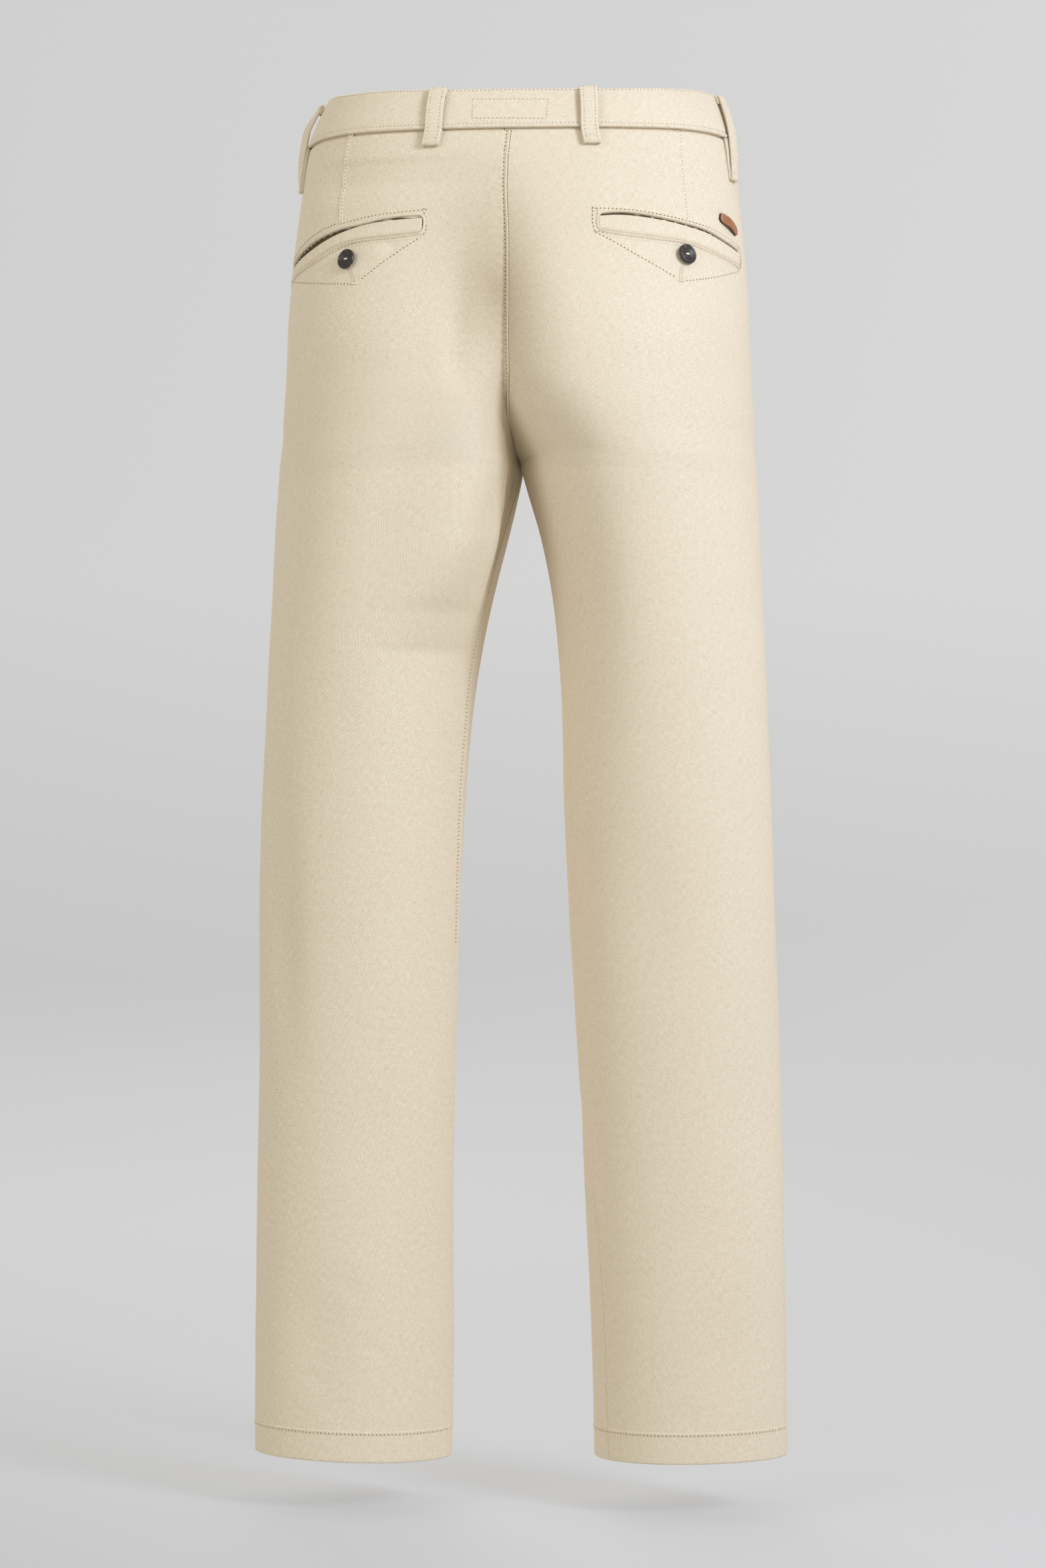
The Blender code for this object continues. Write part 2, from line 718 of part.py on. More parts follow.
def make_buttons(horn):
    for row in BUTTONS:
        spec = dict(zip(BUTTON_COLUMNS, row))
        outward = normal_at(spec["side"], spec["angle"], spec["drop"])
        sit = spec["seat"] + BUTTON_THICKNESS / 2
        centre = cloth_point(spec["side"], spec["angle"], spec["drop"], sit)
        upward = (Vector((0, 0, 1)) - outward * outward.z).normalized()
        across = upward.cross(outward)
        turn = Matrix((across, upward, outward)).transposed().to_4x4()
        place = Matrix.Translation(centre) @ turn
        button = bpy.data.objects.new(spec["name"], button_mesh(horn))
        bpy.context.collection.objects.link(button)
        button.matrix_world = place
        for number, way in enumerate((-0.5, 0.5)):
            hole = Matrix.Translation((0, way * BUTTON_HOLE_SPACING, 0))
            cutter = button_cutter(f"{spec['name']}_hole_{number}", place @ hole)
            drill = button.modifiers.new("thread hole", "BOOLEAN")
            drill.operation = "DIFFERENCE"
            drill.solver = "EXACT"
            drill.object = cutter


# Leather tab -------------------------------------------------------------------------------------
TAB_ENDS = ((62.0, 105.5 * MM), (78.0, 119 * MM))
TAB_WIDTH = 7 * MM
TAB_BOW = 1.2 * MM


def make_tab(leather):
    """A short strap end on the right hip, held at its ends and bowed between them."""
    columns = 8
    rows = 2
    start, end = TAB_ENDS
    grids = []
    for lift in (SEAM_GAP + TAB_WALL, SEAM_GAP):
        grid = []
        for down in range(rows + 1):
            line = []
            for column in range(columns + 1):
                part = column / columns
                angle = start[0] + (end[0] - start[0]) * part
                drop = start[1] + (end[1] - start[1]) * part
                drop += TAB_WIDTH * (down / rows - 0.5)
                rise = lift + TAB_BOW * math.sin(math.pi * part) ** 2
                line.append(cloth_point("right", angle, drop, rise))
            grid.append(line)
        grids.append(grid)
    wall_object("tab", grids[0], grids[1], leather)


def clear_scene():
    for thing in list(bpy.data.objects):
        bpy.data.objects.remove(thing, do_unlink=True)


def build():
    clear_scene()
    twill = make_material("beige twill", (0.62, 0.52, 0.40), 0.85)
    horn = make_material("dark horn", (0.035, 0.02, 0.012), 0.35)
    leather = make_material("tan leather", (0.33, 0.17, 0.08), 0.55)
    make_panels(twill)
    for side in SIDES:
        make_pocket_side(side, twill)
    make_fly_shield(twill)
    make_waistband(twill)
    make_loops(twill)
    make_welts(twill)
    make_buttons(horn)
    make_tab(leather)


build()
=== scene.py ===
"""Chino trousers in beige stretch twill, filled out as if worn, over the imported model."""

import math

import bmesh
import bpy
import numpy as np
from mathutils import Matrix, Vector, noise


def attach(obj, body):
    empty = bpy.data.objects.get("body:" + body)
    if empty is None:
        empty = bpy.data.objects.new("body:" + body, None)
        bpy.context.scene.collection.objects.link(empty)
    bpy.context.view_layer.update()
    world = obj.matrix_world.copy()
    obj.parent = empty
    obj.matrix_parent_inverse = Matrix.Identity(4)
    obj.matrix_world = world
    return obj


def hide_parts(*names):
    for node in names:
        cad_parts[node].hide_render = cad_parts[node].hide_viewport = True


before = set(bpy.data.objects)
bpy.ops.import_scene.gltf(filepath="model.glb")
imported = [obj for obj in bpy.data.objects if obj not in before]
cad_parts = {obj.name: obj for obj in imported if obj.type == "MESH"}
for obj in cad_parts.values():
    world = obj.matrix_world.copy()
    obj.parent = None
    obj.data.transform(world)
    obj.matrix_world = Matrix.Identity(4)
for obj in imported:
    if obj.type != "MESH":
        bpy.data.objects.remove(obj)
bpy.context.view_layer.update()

# Camera ------------------------------------------------------------------------------------------
# Level with the thighs, 3.2 m away and a little to one side of straight behind.
CAMERA_TURN = math.radians(186.5)
CAMERA_DISTANCE = 3.2
CAMERA_HEIGHT = -0.528
FRAME_HEIGHT = 24
FOCAL_LENGTH = 64.19

lens = bpy.data.cameras.new("camera")
lens.sensor_fit = "VERTICAL"
lens.sensor_height = FRAME_HEIGHT
lens.lens = FOCAL_LENGTH
camera = bpy.data.objects.new("camera", lens)
camera.location = (
    math.sin(CAMERA_TURN) * CAMERA_DISTANCE,
    -math.cos(CAMERA_TURN) * CAMERA_DISTANCE,
    CAMERA_HEIGHT,
)
camera.rotation_euler = (math.pi / 2, 0, CAMERA_TURN)
bpy.context.collection.objects.link(camera)
bpy.context.scene.camera = camera

# Studio ------------------------------------------------------------------------------------------
# A round sweep of pale grey paper, with a cool soft light high on the right, others on the left and in
# front, and a warm even surround. The paper's own light is painted on as a glow, and the paper passes
# under the hems with a small gap.
FLOOR_HEIGHT = -1.076
SWEEP_RADIUS = 4.6
SWEEP_BEND = 2.4
SWEEP_TOP = 3.4
BEND_STEPS = 8
ROUND_STEPS = 96
# The paper's light is painted on as a glow, weakest at the floor and full from this height above it
GLOW_FULL_ABOVE = 0.9
PAPER_CLOUD = 2000
SURROUND_STRENGTH = 0.62


def to_linear(hex_colour):
    """An sRGB hex value as linear red, green, blue and alpha."""
    parts = [int(hex_colour[place:place + 2], 16) / 255 for place in (1, 3, 5)]
    linear = [part / 12.92 if part <= 0.04045 else ((part + 0.055) / 1.055) ** 2.4 for part in parts]
    return (*linear, 1.0)


def new_material(name, **finish):
    """A material, its node tree and its shader, with some of the shader's own sockets set."""
    material = bpy.data.materials.new(name)
    material.use_nodes = True
    shader = material.node_tree.nodes["Principled BSDF"]
    for socket, value in finish.items():
        shader.inputs[socket.replace("_", " ")].default_value = value
    return material, material.node_tree, shader


def add_node(tree, kind, settings=None, **inputs):
    """Add a node, with its settings, and with inputs set to a value or linked from a socket.

    Inputs go by name, with _ for a space, or by number, as i0, i1 and i2.
    """
    node = tree.nodes.new(kind)
    for name, value in (settings or {}).items():
        setattr(node, name, value)
    for name, value in inputs.items():
        by_number = name[0] == "i" and name[1:].isdigit()
        socket = node.inputs[int(name[1:]) if by_number else name.replace("_", " ")]
        if isinstance(value, bpy.types.NodeSocket):
            tree.links.new(value, socket)
        else:
            socket.default_value = value
    return node


def seamless_paper():
    """Background paper with its light painted on as a glow: matt, pale grey, painted a little darker low
    down and on the left.
    """
    material, tree, shader = new_material(
        "seamless background paper", Base_Color=to_linear("#8b8c8f"), Roughness=0.95, Specular_IOR_Level=0.1
    )
    place = add_node(tree, "ShaderNodeTexCoord")
    cloud = add_node(
        tree, "ShaderNodeTexNoise", Vector=place.outputs["Object"], Scale=1000 / PAPER_CLOUD, Detail=2.0
    )
    tone = add_node(tree, "ShaderNodeValToRGB", Fac=cloud.outputs["Fac"])
    tone.color_ramp.elements[0].color = to_linear("#fafafb")
    tone.color_ramp.elements[1].color = to_linear("#fefeff")
    parts = add_node(tree, "ShaderNodeSeparateXYZ", Vector=place.outputs["Object"])
    across = add_node(
        tree, "ShaderNodeMapRange",
        Value=parts.outputs["X"], From_Min=1.6, From_Max=-1.6, To_Min=0.94, To_Max=1.14,
    )
    upward = add_node(
        tree, "ShaderNodeMapRange", Value=parts.outputs["Z"],
        From_Min=FLOOR_HEIGHT, From_Max=FLOOR_HEIGHT + GLOW_FULL_ABOVE, To_Min=0.37, To_Max=0.49,
    )
    painted_glow = add_node(
        tree, "ShaderNodeMath", {"operation": "MULTIPLY"},
        i0=across.outputs["Result"], i1=upward.outputs["Result"],
    )
    near_left = add_node(
        tree, "ShaderNodeMath", {"operation": "ADD"}, i0=parts.outputs["X"], i1=parts.outputs["Y"]
    )
    # Painted shade on the floor near the camera, on the left
    painted_corner_shade = add_node(
        tree, "ShaderNodeMapRange",
        Value=near_left.outputs["Value"], From_Min=0.1, From_Max=0.6, To_Min=1.0, To_Max=0.84,
    )
    painted_light_and_shade = add_node(
        tree, "ShaderNodeMath", {"operation": "MULTIPLY"},
        i0=painted_glow.outputs["Value"], i1=painted_corner_shade.outputs["Result"],
    )
    tree.links.new(tone.outputs["Color"], shader.inputs["Emission Color"])
    tree.links.new(painted_light_and_shade.outputs["Value"], shader.inputs["Emission Strength"])
    return material


sweep_shape = bmesh.new()
outline = [(0, FLOOR_HEIGHT), (SWEEP_RADIUS - SWEEP_BEND, FLOOR_HEIGHT)]
for step in range(1, BEND_STEPS + 1):
    turn = math.pi / 2 * step / BEND_STEPS
    outline.append((
        SWEEP_RADIUS - SWEEP_BEND + SWEEP_BEND * math.sin(turn),
        FLOOR_HEIGHT + SWEEP_BEND * (1 - math.cos(turn)),
    ))
outline.append((SWEEP_RADIUS, SWEEP_TOP))
corners = [sweep_shape.verts.new((reach, 0, height)) for reach, height in outline]
edges = [sweep_shape.edges.new(pair) for pair in zip(corners, corners[1:])]
bmesh.ops.spin(
    sweep_shape, geom=corners + edges, cent=(0, 0, 0), axis=(0, 0, 1), angle=math.tau, steps=ROUND_STEPS,
    use_merge=True,
)
bmesh.ops.remove_doubles(sweep_shape, verts=sweep_shape.verts, dist=0.0001)
bmesh.ops.recalc_face_normals(sweep_shape, faces=sweep_shape.faces)
sweep_mesh = bpy.data.meshes.new("sweep")
sweep_shape.to_mesh(sweep_mesh)
sweep_shape.free()
sweep_mesh.materials.append(seamless_paper())
sweep_mesh.shade_smooth()
sweep = bpy.data.objects.new("sweep", sweep_mesh)
sweep.visible_diffuse = False
sweep.visible_shadow = False
bpy.context.collection.objects.link(sweep)


def soft_light(name, place, aim, size, power, colour, spread=180):
    """A square soft light at a place, turned to face its aim."""
    data = bpy.data.lights.new(name, "AREA")
    data.shape = "SQUARE"
    data.size = size
    data.energy = power
    data.color = colour
    data.spread = math.radians(spread)
    lamp = bpy.data.objects.new(name, data)
    lamp.location = place
    lamp.rotation_euler = (Vector(aim) - Vector(place)).to_track_quat("-Z", "Y").to_euler()
    bpy.context.collection.objects.link(lamp)


soft_light("key light", (-2.2, 1.9, 0.95), (-0.05, 0.0, -0.32), 0.9, 14.6, (0.92, 1.0, 1.17), 90)
soft_light("left light", (1.8, 2.2, 0.55), (0.05, 0.0, -0.25), 1.2, 14, (1.0, 0.99, 0.97))
soft_light("front light", (0.8, -2.6, 0.6), (0.0, 0.0, -0.4), 1.4, 20, (1.0, 1.0, 1.0))

surround = bpy.data.worlds.new("surround")
surround.use_nodes = True
sky = surround.node_tree.nodes["Background"]
sky.inputs["Color"].default_value = to_linear("#fffaf0")
sky.inputs["Strength"].default_value = SURROUND_STRENGTH
bpy.context.scene.world = surround
bpy.context.scene.view_settings.view_transform = "Standard"

# The filled-out form ------------------------------------------------------------------------------
# Cross-sections of the trousers at drops below the rim, in millimetres. Every piece of cloth, thread
# and trim is laid on them. An angle of 0 is the back, 90 the outer side, 180 the front and 270 the
# inner side of a leg.
SECTION_NAMES = (
    "at", "out", "in_left", "in_right", "seat_lobe", "fly_lobe",
    "mid", "in_mid", "back", "seat", "front", "fly",
)
SECTIONS = (
    (0, 149, 0, 0, 0, 0, -20, 0, 104, 104, -128, -128),
    (42, 161, 0, 0, 0, 0, 8, 0, 121, 121, -128, -128),
    (88, 166, 0, 0, 20, 0, 22, 0, 127, 125.5, -126, -126),
    (126, 170, 0, 0, 40, 0, 29, 0, 133, 125, -121, -121),
    (177, 174, 0, 0, 55, 0, 31, 0, 149, 129.5, -112, -112),
    (200, 175, 0, 0, 60, 12, 31, 0, 154, 129.5, -106, -106),
    (225, 176, 0, 0, 64, 37, 31, 0, 156, 125.5, -99, -96),
    (240, 177, 0, 0, 68, 50, 31, 0, 156.5, 116.5, -95, -87),
    (255, 178, 0, 0, 74, 66, 31, 0, 155.6, 101, -91, -70),
    (268, 178, 0, 0, 80, 78, 32, 0, 154, 77, -86, -50),
    (279, 179, 0, 0, 86, 87, 33, 0, 152.5, 46, -83, -26),
    (288, 180, 0, 0, 90, 90, 34, 0, 151, 0, -80, 0),
    (304, 181, 3, 4, 92, 92, 36, -2, 148.5, -2, -77, -2),
    (342, 183, 12, 15, 97, 97, 40, -2, 142, -2, -70, -2),
    (393, 185, 24, 25, 104, 104, 44, 5, 134, 5, -62, 5),
    (444, 188, 32, 31, 109, 109, 46, 20, 126, 20, -53, 20),
    (495, 190, 37, 34, 112, 112, 47, 30, 118, 30, -45, 30),
    (545, 192, 41, 35, 115, 115, 45, 32, 111, 32, -38, 32),
    (647, 195, 46, 40, 118, 118, 38, 30, 97, 30, -28, 30),
    (749, 198, 49, 46, 122, 122, 30, 25, 86, 25, -25, 25),
    (850, 200, 51, 50, 124, 124, 29, 16, 78, 16, -26, 16),
    (953, 202, 52, 54, 126, 126, 26, 9, 73, 9, -27, 9),
    (1042, 203, 54, 56, 128, 128, 23, 8, 70, 8, -28, 8),
)
INSEAM_NAMES = ("at", "left", "right")
INSEAM = (
    (288, 270, 270),
    (350, 282, 268),
    (450, 282, 266),
    (650, 275, 268),
    (760, 272, 278),
    (850, 272, 300),
    (1042, 272, 306),
)
# How square the inner back corner of each leg is, where 2 is an ellipse
CORNER_NAMES = ("at", "left", "right")
CORNERS = (
    (110, 2.0, 2.0), (150, 2.5, 2.0), (200, 3.2, 2.0), (240, 4.0, 2.0), (290, 6.0, 2.0), (350, 6.0, 2.0),
    (400, 2.8, 2.0), (430, 2.0, 2.0),
)
# How far each seat lobe lies forward of the section's back
FLAT_NAMES = ("at", "left", "right")
FLATS = (
    (60, 0, 0), (100, 2, 0), (140, 5, 0), (177, 8, 0), (200, 9, 0), (225, 9, 0), (250, 8, 0), (279, 5, 0),
    (320, 2, 0), (360, 0, 0),
)
SIDES = {"left": 1, "right": -1}
LEG_LENGTH = {"left": 1037, "right": 1034}
BAND_HEIGHT = 42
CROTCH_DROP = 288
RIM_DIP = {"back": 12, "front": 12, "left": 2, "right": 6}
BAND_FOOT_DIP = {"back": 4, "front": 6, "left": 5, "right": 3}
DIP_FADES_AT = 100
SQUARENESS = 0.18
ROUND_FROM_DROP = 290
WIDEST_LOBE = 200
HEM_SLANT = 2
HEM_SLANT_FROM = 900

# How far the rim sinks under its straight height, in millimetres, at angles on either side
RIM_NAMES = ("at", "left", "right")
RIM_SINKS = ((0, 2.9, 2.9), (30, 3.2, 4.9), (50, 5.1, 5.4), (70, 4.9, 3.4), (90, 1.0, 0.5), (180, 2.0, 2.0))

# The folds and dents that the cloth hangs in: half width, then points of angle, drop and height
FOLDS = (
    ("left", 17, ((62, 430, 0), (48, 610, -4.5), (34, 790, 0))),
    ("left", 16, ((84, 470, 0), (75, 615, 2.0), (66, 760, 0))),
    ("left", 22, ((330, 690, 0), (341, 795, -2.5), (352, 900, 0))),
    ("left", 22, ((20, 880, 0), (16, 945, -2.0), (12, 1010, 0))),
    ("left", 16, ((350, 130, 0), (340, 190, -2.5), (330, 250, 0))),
    ("right", 24, ((60, 640, 0), (50, 770, -2.0), (40, 900, 0))),
    ("right", 26, ((350, 520, 0), (353, 620, -2.0), (356, 720, 0))),
    ("right", 22, ((30, 900, 0), (25, 955, -1.5), (20, 1010, 0))),
    ("left", 22, ((150, 540, 0), (160, 620, -3.0), (170, 700, 0))),
    ("right", 22, ((150, 560, 0), (161, 640, -3.0), (172, 720, 0))),
    ("left", 20, ((205, 600, 0), (197, 730, -2.0), (190, 860, 0))),
    ("right", 20, ((200, 620, 0), (192, 730, -2.0), (185, 840, 0))),
    (
        "left", 5,
        ((-46, 256, 0), (-54, 272, 1.6), (-57, 290, 2.0), (-58, 312, 1.8), (-66, 348, 1.2), (-74, 390, 0)),
    ),
    ("left", 6, ((-66, 280, 0), (-76, 302, -2.4), (-74, 338, -2.0), (-76, 372, 0))),
    ("left", 15, ((-54, 298, 0), (-57, 345, 6.0), (-60, 388, 4.5), (-66, 445, 0))),
    (
        "left", 10,
        ((-4, 108, 0), (-8, 150, -1.4), (-14, 184, -2.1), (-19, 214, -2.3), (-25, 232, -1.6), (-32, 250, 0)),
    ),
    ("left", 5, ((-12, 122, 0), (-8, 126, -0.6), (-4, 131, 0))),
    ("left", 5, ((-16, 150, 0), (-12, 160, -0.8), (-9, 175, 0))),
    ("left", 5, ((-19, 174, 0), (-14.5, 189, -0.8), (-12.5, 205, 0))),
    ("left", 4, ((19, 127, 0), (16, 133, -1.2), (13, 137, 0))),
    ("left", 5, ((29, 135, 0), (22, 136, 0.8), (16, 134, 0))),
    ("left", 26, ((54, 60, 0), (60, 85, 0.9), (64, 108, 0))),
    ("left", 4, ((-9, 946, 0), (-18, 952, -0.5), (-28, 960, 0))),
    ("left", 4, ((27, 972, 0), (18, 976, -0.5), (5, 983, 0))),
    ("left", 7, ((-3, 890, 0), (-4, 907, -0.6), (-6, 925, 0))),
    ("right", 4, ((-84, 735, 0), (-61, 776, 1.3), (-55, 840, 1.1), (-50, 885, 0))),
    ("right", 9, ((-96, 745, 0), (-76, 790, -1.6), (-68, 850, -1.2), (-62, 900, 0))),
    ("right", 6, ((10, 985, 0), (2, 1000, -0.5), (-4, 1012, 0))),
    ("right", 30, ((20, 50, 0), (30, 75, -1.0), (36, 100, 0))),
    ("left", 8, ((212, 268, 0), (196, 246, -1.8), (178, 228, -1.4), (158, 216, 0))),
    ("left", 6, ((206, 244, 0), (190, 218, -0.9), (174, 200, 0))),
    ("right", 9, ((210, 270, 0), (194, 250, -1.6), (176, 234, -1.2), (160, 226, 0))),
    ("right", 6, ((198, 236, 0), (184, 212, -0.8), (172, 190, 0))),
)
# Points worked out between two points of a fold, and how many half widths away it has died out
FOLD_STEPS = 6
FOLD_DIES_AT = 2.6
# How far to either side of a point the slope of the form is read, in degrees and in millimetres
SLOPE_TURN = 0.6
SLOPE_DROP = 2
LEAST_TURN = 0.2


def as_columns(names, rows):
    """A table's rows as one array for each named column."""
    return {name: np.array([row[place] for row in rows], float) for place, name in enumerate(names)}


def reading(table, name, place):
    """Read a column at some places, along a smooth curve through the table's rows."""
    at = table["at"]
    values = table[name]
    slopes = np.gradient(values)
    slopes[1:-1] = (values[2:] - values[:-2]) / (at[2:] - at[:-2])
    slopes[0] = (values[1] - values[0]) / (at[1] - at[0])
    slopes[-1] = (values[-1] - values[-2]) / (at[-1] - at[-2])
    place = np.clip(place, at[0], at[-1])
    low = np.clip(np.searchsorted(at, place, side="right") - 1, 0, len(at) - 2)
    span = at[low + 1] - at[low]
    t = (place - at[low]) / span
    rise = t * t * (3 - 2 * t)
    pull = (t ** 3 - 2 * t * t + t) * slopes[low] + (t ** 3 - t * t) * slopes[low + 1]
    return values[low] * (1 - rise) + values[low + 1] * rise + pull * span


SECTION_TABLE = as_columns(SECTION_NAMES, SECTIONS)
INSEAM_TABLE = as_columns(INSEAM_NAMES, INSEAM)
RIM_TABLE = as_columns(RIM_NAMES, RIM_SINKS)
CORNER_TABLE = as_columns(CORNER_NAMES, CORNERS)
FLAT_TABLE = as_columns(FLAT_NAMES, FLATS)


def size(name, drop):
    """One column of the sections, at some drops."""
    return reading(SECTION_TABLE, name, drop)


def soft_step(value):
    """Rise from 0 to 1 as value does, level at both ends."""
    value = np.clip(value, 0.0, 1.0)
    return value * value * (3 - 2 * value)


def back_reach(side, drop):
    """How far back a seat lobe or leg stands."""
    return size("back", drop) - np.interp(drop, FLAT_TABLE["at"], FLAT_TABLE[side])


def seam_share(drop, seam, reach):
    """How far out the centre seam lies, as a share of the reach of the lobe beside it."""
    middle = size("in_mid", drop)
    return np.clip((size(seam, drop) - middle) / (reach - middle), 0, 1)


def corner(side, drop):
    """How square the inner back corner is."""
    return np.interp(drop, CORNER_TABLE["at"], CORNER_TABLE[side])


def back_seam(side, drop):
    """Angle of the centre-back seam, and below the crotch of the inseam."""
    drop = np.asarray(drop, float)
    square = corner(side, drop)
    share = np.maximum(seam_share(drop, "seat", back_reach(side, drop)), 1e-3)
    above = -np.degrees(np.arctan(np.maximum(share ** -square - 1, 0) ** (1 / square)))
    return np.where(drop >= CROTCH_DROP, reading(INSEAM_TABLE, side, drop) - 360, above)


def front_seam(side, drop):
    """Angle of the centre-front seam, and below the crotch of the inseam."""
    drop = np.asarray(drop, float)
    above = 180 + np.degrees(np.arccos(seam_share(drop, "fly", size("front", drop))))
    return np.where(drop >= CROTCH_DROP, reading(INSEAM_TABLE, side, drop), above)


def form(side, angle, drop):
    """Points of the cloth's outer face before its folds."""
    angle, drop = np.broadcast_arrays(np.asarray(angle, float), np.asarray(drop, float))
    sideways = np.sin(np.radians(angle))
    rearward = np.cos(np.radians(angle))
    behind = rearward >= 0
    reach = np.where(behind, back_reach(side, drop), size("front", drop))
    inner = np.maximum(size("in_" + side, drop), 0)
    out = size("out", drop)
    leg_lobe = (out + inner) / 2
    share = np.where(behind, seam_share(drop, "seat", reach), seam_share(drop, "fly", reach))
    square = np.where(behind, corner(side, drop), 2.0)
    set_back = np.maximum(1 - share ** square, 1e-8) ** (1 / square)
    body_lobe = np.maximum(np.where(behind, size("seat_lobe", drop), size("fly_lobe", drop)), 0)
    body_lobe = np.minimum(body_lobe, WIDEST_LOBE * set_back)
    leg = drop >= CROTCH_DROP
    lobe = np.where(leg, leg_lobe, body_lobe)
    inner_reach = np.where(leg, leg_lobe - inner, body_lobe / set_back)
    power = 1 - SQUARENESS * (1 - soft_step(drop / ROUND_FROM_DROP))
    outer_half = sideways >= 0
    full = (np.abs(sideways) ** square + np.abs(rearward) ** square) ** (-1 / square)
    x_outer = lobe + (out - lobe) * np.abs(sideways) ** power
    x = np.where(outer_half, x_outer, lobe + inner_reach * sideways * full)
    middle = np.where(outer_half, size("mid", drop), size("in_mid", drop))
    depth = np.where(outer_half, np.abs(rearward) ** power, np.abs(rearward) * full)
    y = middle + (reach - middle) * depth
    along = np.clip(drop / BAND_HEIGHT, 0, 1)
    rim = np.where(behind, RIM_DIP["back"], RIM_DIP["front"])
    foot = np.where(behind, BAND_FOOT_DIP["back"], BAND_FOOT_DIP["front"])
    ends = rim + (foot - rim) * along
    flank = RIM_DIP[side] + (BAND_FOOT_DIP[side] - RIM_DIP[side]) * along
    fade = 1 - soft_step((drop - BAND_HEIGHT) / (DIP_FADES_AT - BAND_HEIGHT))
    z = -drop - (ends * rearward ** 2 + flank * sideways ** 8) * fade
    turn = np.minimum(angle % 360, 360 - angle % 360)
    z = z - np.interp(turn, RIM_TABLE["at"], RIM_TABLE[side]) * (1 - along)
    z = z + HEM_SLANT * sideways * soft_step((drop - HEM_SLANT_FROM) / (LEG_LENGTH[side] - HEM_SLANT_FROM))
    return np.stack((SIDES[side] * np.maximum(x, 0), y, z), axis=-1)


def outward(side, angle, drop):
    """Unit normals of the form, from its slopes round the girth and down it."""
    angle, drop = np.broadcast_arrays(np.asarray(angle, float), np.asarray(drop, float))
    low = np.maximum(angle - SLOPE_TURN, np.minimum(back_seam(side, drop), angle))
    high = np.minimum(angle + SLOPE_TURN, np.maximum(front_seam(side, drop), angle))
    low = np.where(high - low < LEAST_TURN, angle - SLOPE_TURN / 2, low)
    around = form(side, high, drop) - form(side, low, drop)
    below = np.minimum(drop + SLOPE_DROP, SECTIONS[-1][0])
    down = form(side, angle, below) - form(side, angle, np.maximum(below - 2 * SLOPE_DROP, 0))
    normal = np.cross(around, down) * SIDES[side]
    return normal / np.maximum(np.linalg.norm(normal, axis=-1, keepdims=True), 1e-9)


def fold_lines():
    """Each fold as a chain of points on the form with its height at each."""
    chains = []
    for side, half_width, nodes in FOLDS:
        angles, drops, heights = (np.array(values, float) for values in zip(*nodes))
        spots = np.arange(len(nodes))
        steps = np.linspace(0, len(nodes) - 1, FOLD_STEPS * (len(nodes) - 1) + 1)
        low = np.minimum(steps.astype(int), len(nodes) - 2)
        blend = soft_step(steps - low)
        height = heights[low] * (1 - blend) + heights[low + 1] * blend
        points = form(side, np.interp(steps, spots, angles), np.interp(steps, spots, drops))
        chains.append((side, half_width, points, height))
    return chains


FOLD_CHAINS = fold_lines()


def fold_height(side, points):
    """How far the folds raise the cloth at some points."""
    height = np.zeros(len(points))
    if not len(points):
        return height
    low = points.min(axis=0)
    high = points.max(axis=0)
    for chain_side, half_width, line, heights in FOLD_CHAINS:
        reach = FOLD_DIES_AT * half_width
        apart = (line.min(axis=0) > high + reach) | (line.max(axis=0) < low - reach)
        if chain_side != side or apart.any():
            continue
        nearest = np.full(len(points), 1e9)
        level = np.zeros(len(points))
        for place in range(len(line) - 1):
            run = line[place + 1] - line[place]
            t = np.clip((points - line[place]) @ run / (run @ run), 0, 1)
            away = np.linalg.norm(points - line[place] - t[:, None] * run, axis=1)
            closer = away < nearest
            nearest = np.where(closer, away, nearest)
            level = np.where(closer, heights[place] + (heights[place + 1] - heights[place]) * t, level)
        height += level * np.exp(-(nearest / half_width) ** 2)
    return height


# Wave length, height and upright stretch of each kind of wave in unpressed cloth
UNEVEN = ((95, 0.75, 2.2), (34, 0.22, 1.3))


def rumple(points):
    """The small unevenness of cloth that nothing presses."""
    height = np.zeros(len(points))
    for wave, depth, stretch in UNEVEN:
        scaled = points / (wave, wave, wave * stretch)
        height += depth * np.array([noise.noise(Vector(spot)) for spot in scaled])
    return height


def lay(side, angle, drop, lift=0.0):
    """Points at a height over the cloth, folds and unevenness included."""
    base = form(side, angle, drop)
    flat = base.reshape(-1, 3)
    rise = (fold_height(side, flat) + rumple(flat)).reshape(base.shape[:-1]) + lift
    point = base + outward(side, angle, drop) * rise[..., None]
    point[..., 0] = SIDES[side] * np.maximum(SIDES[side] * point[..., 0], 0)
    return point


# Twill -------------------------------------------------------------------------------------------
# Stretch cotton twill, piece-dyed beige and lightly brushed: matt, with a faint fuzz at the edges.
# The ribs run diagonally, and single yarns are a shade lighter or darker.
TWILL_RIB = 1.25
RIB_TURN = math.radians(35)
YARN_LENGTH = 4.5
YARN_WIDTH = 0.55
YARN_RELIEF = 0.00016
DYE_PATCH = 35.7
# Shade is painted into the cloth's colour in the hollow of the seat: a shade deeper and warmer there
PAINTED_SHADE_MIDDLE = (0.005, 0.13, -0.165)
PAINTED_SHADE_REACH = (0.07, 0.09, 0.14)
PAINTED_SHADE_LEAN = math.radians(10)
# A wave texture's bands lie this share of a unit apart at a scale of 1
WAVE_BAND = 0.314


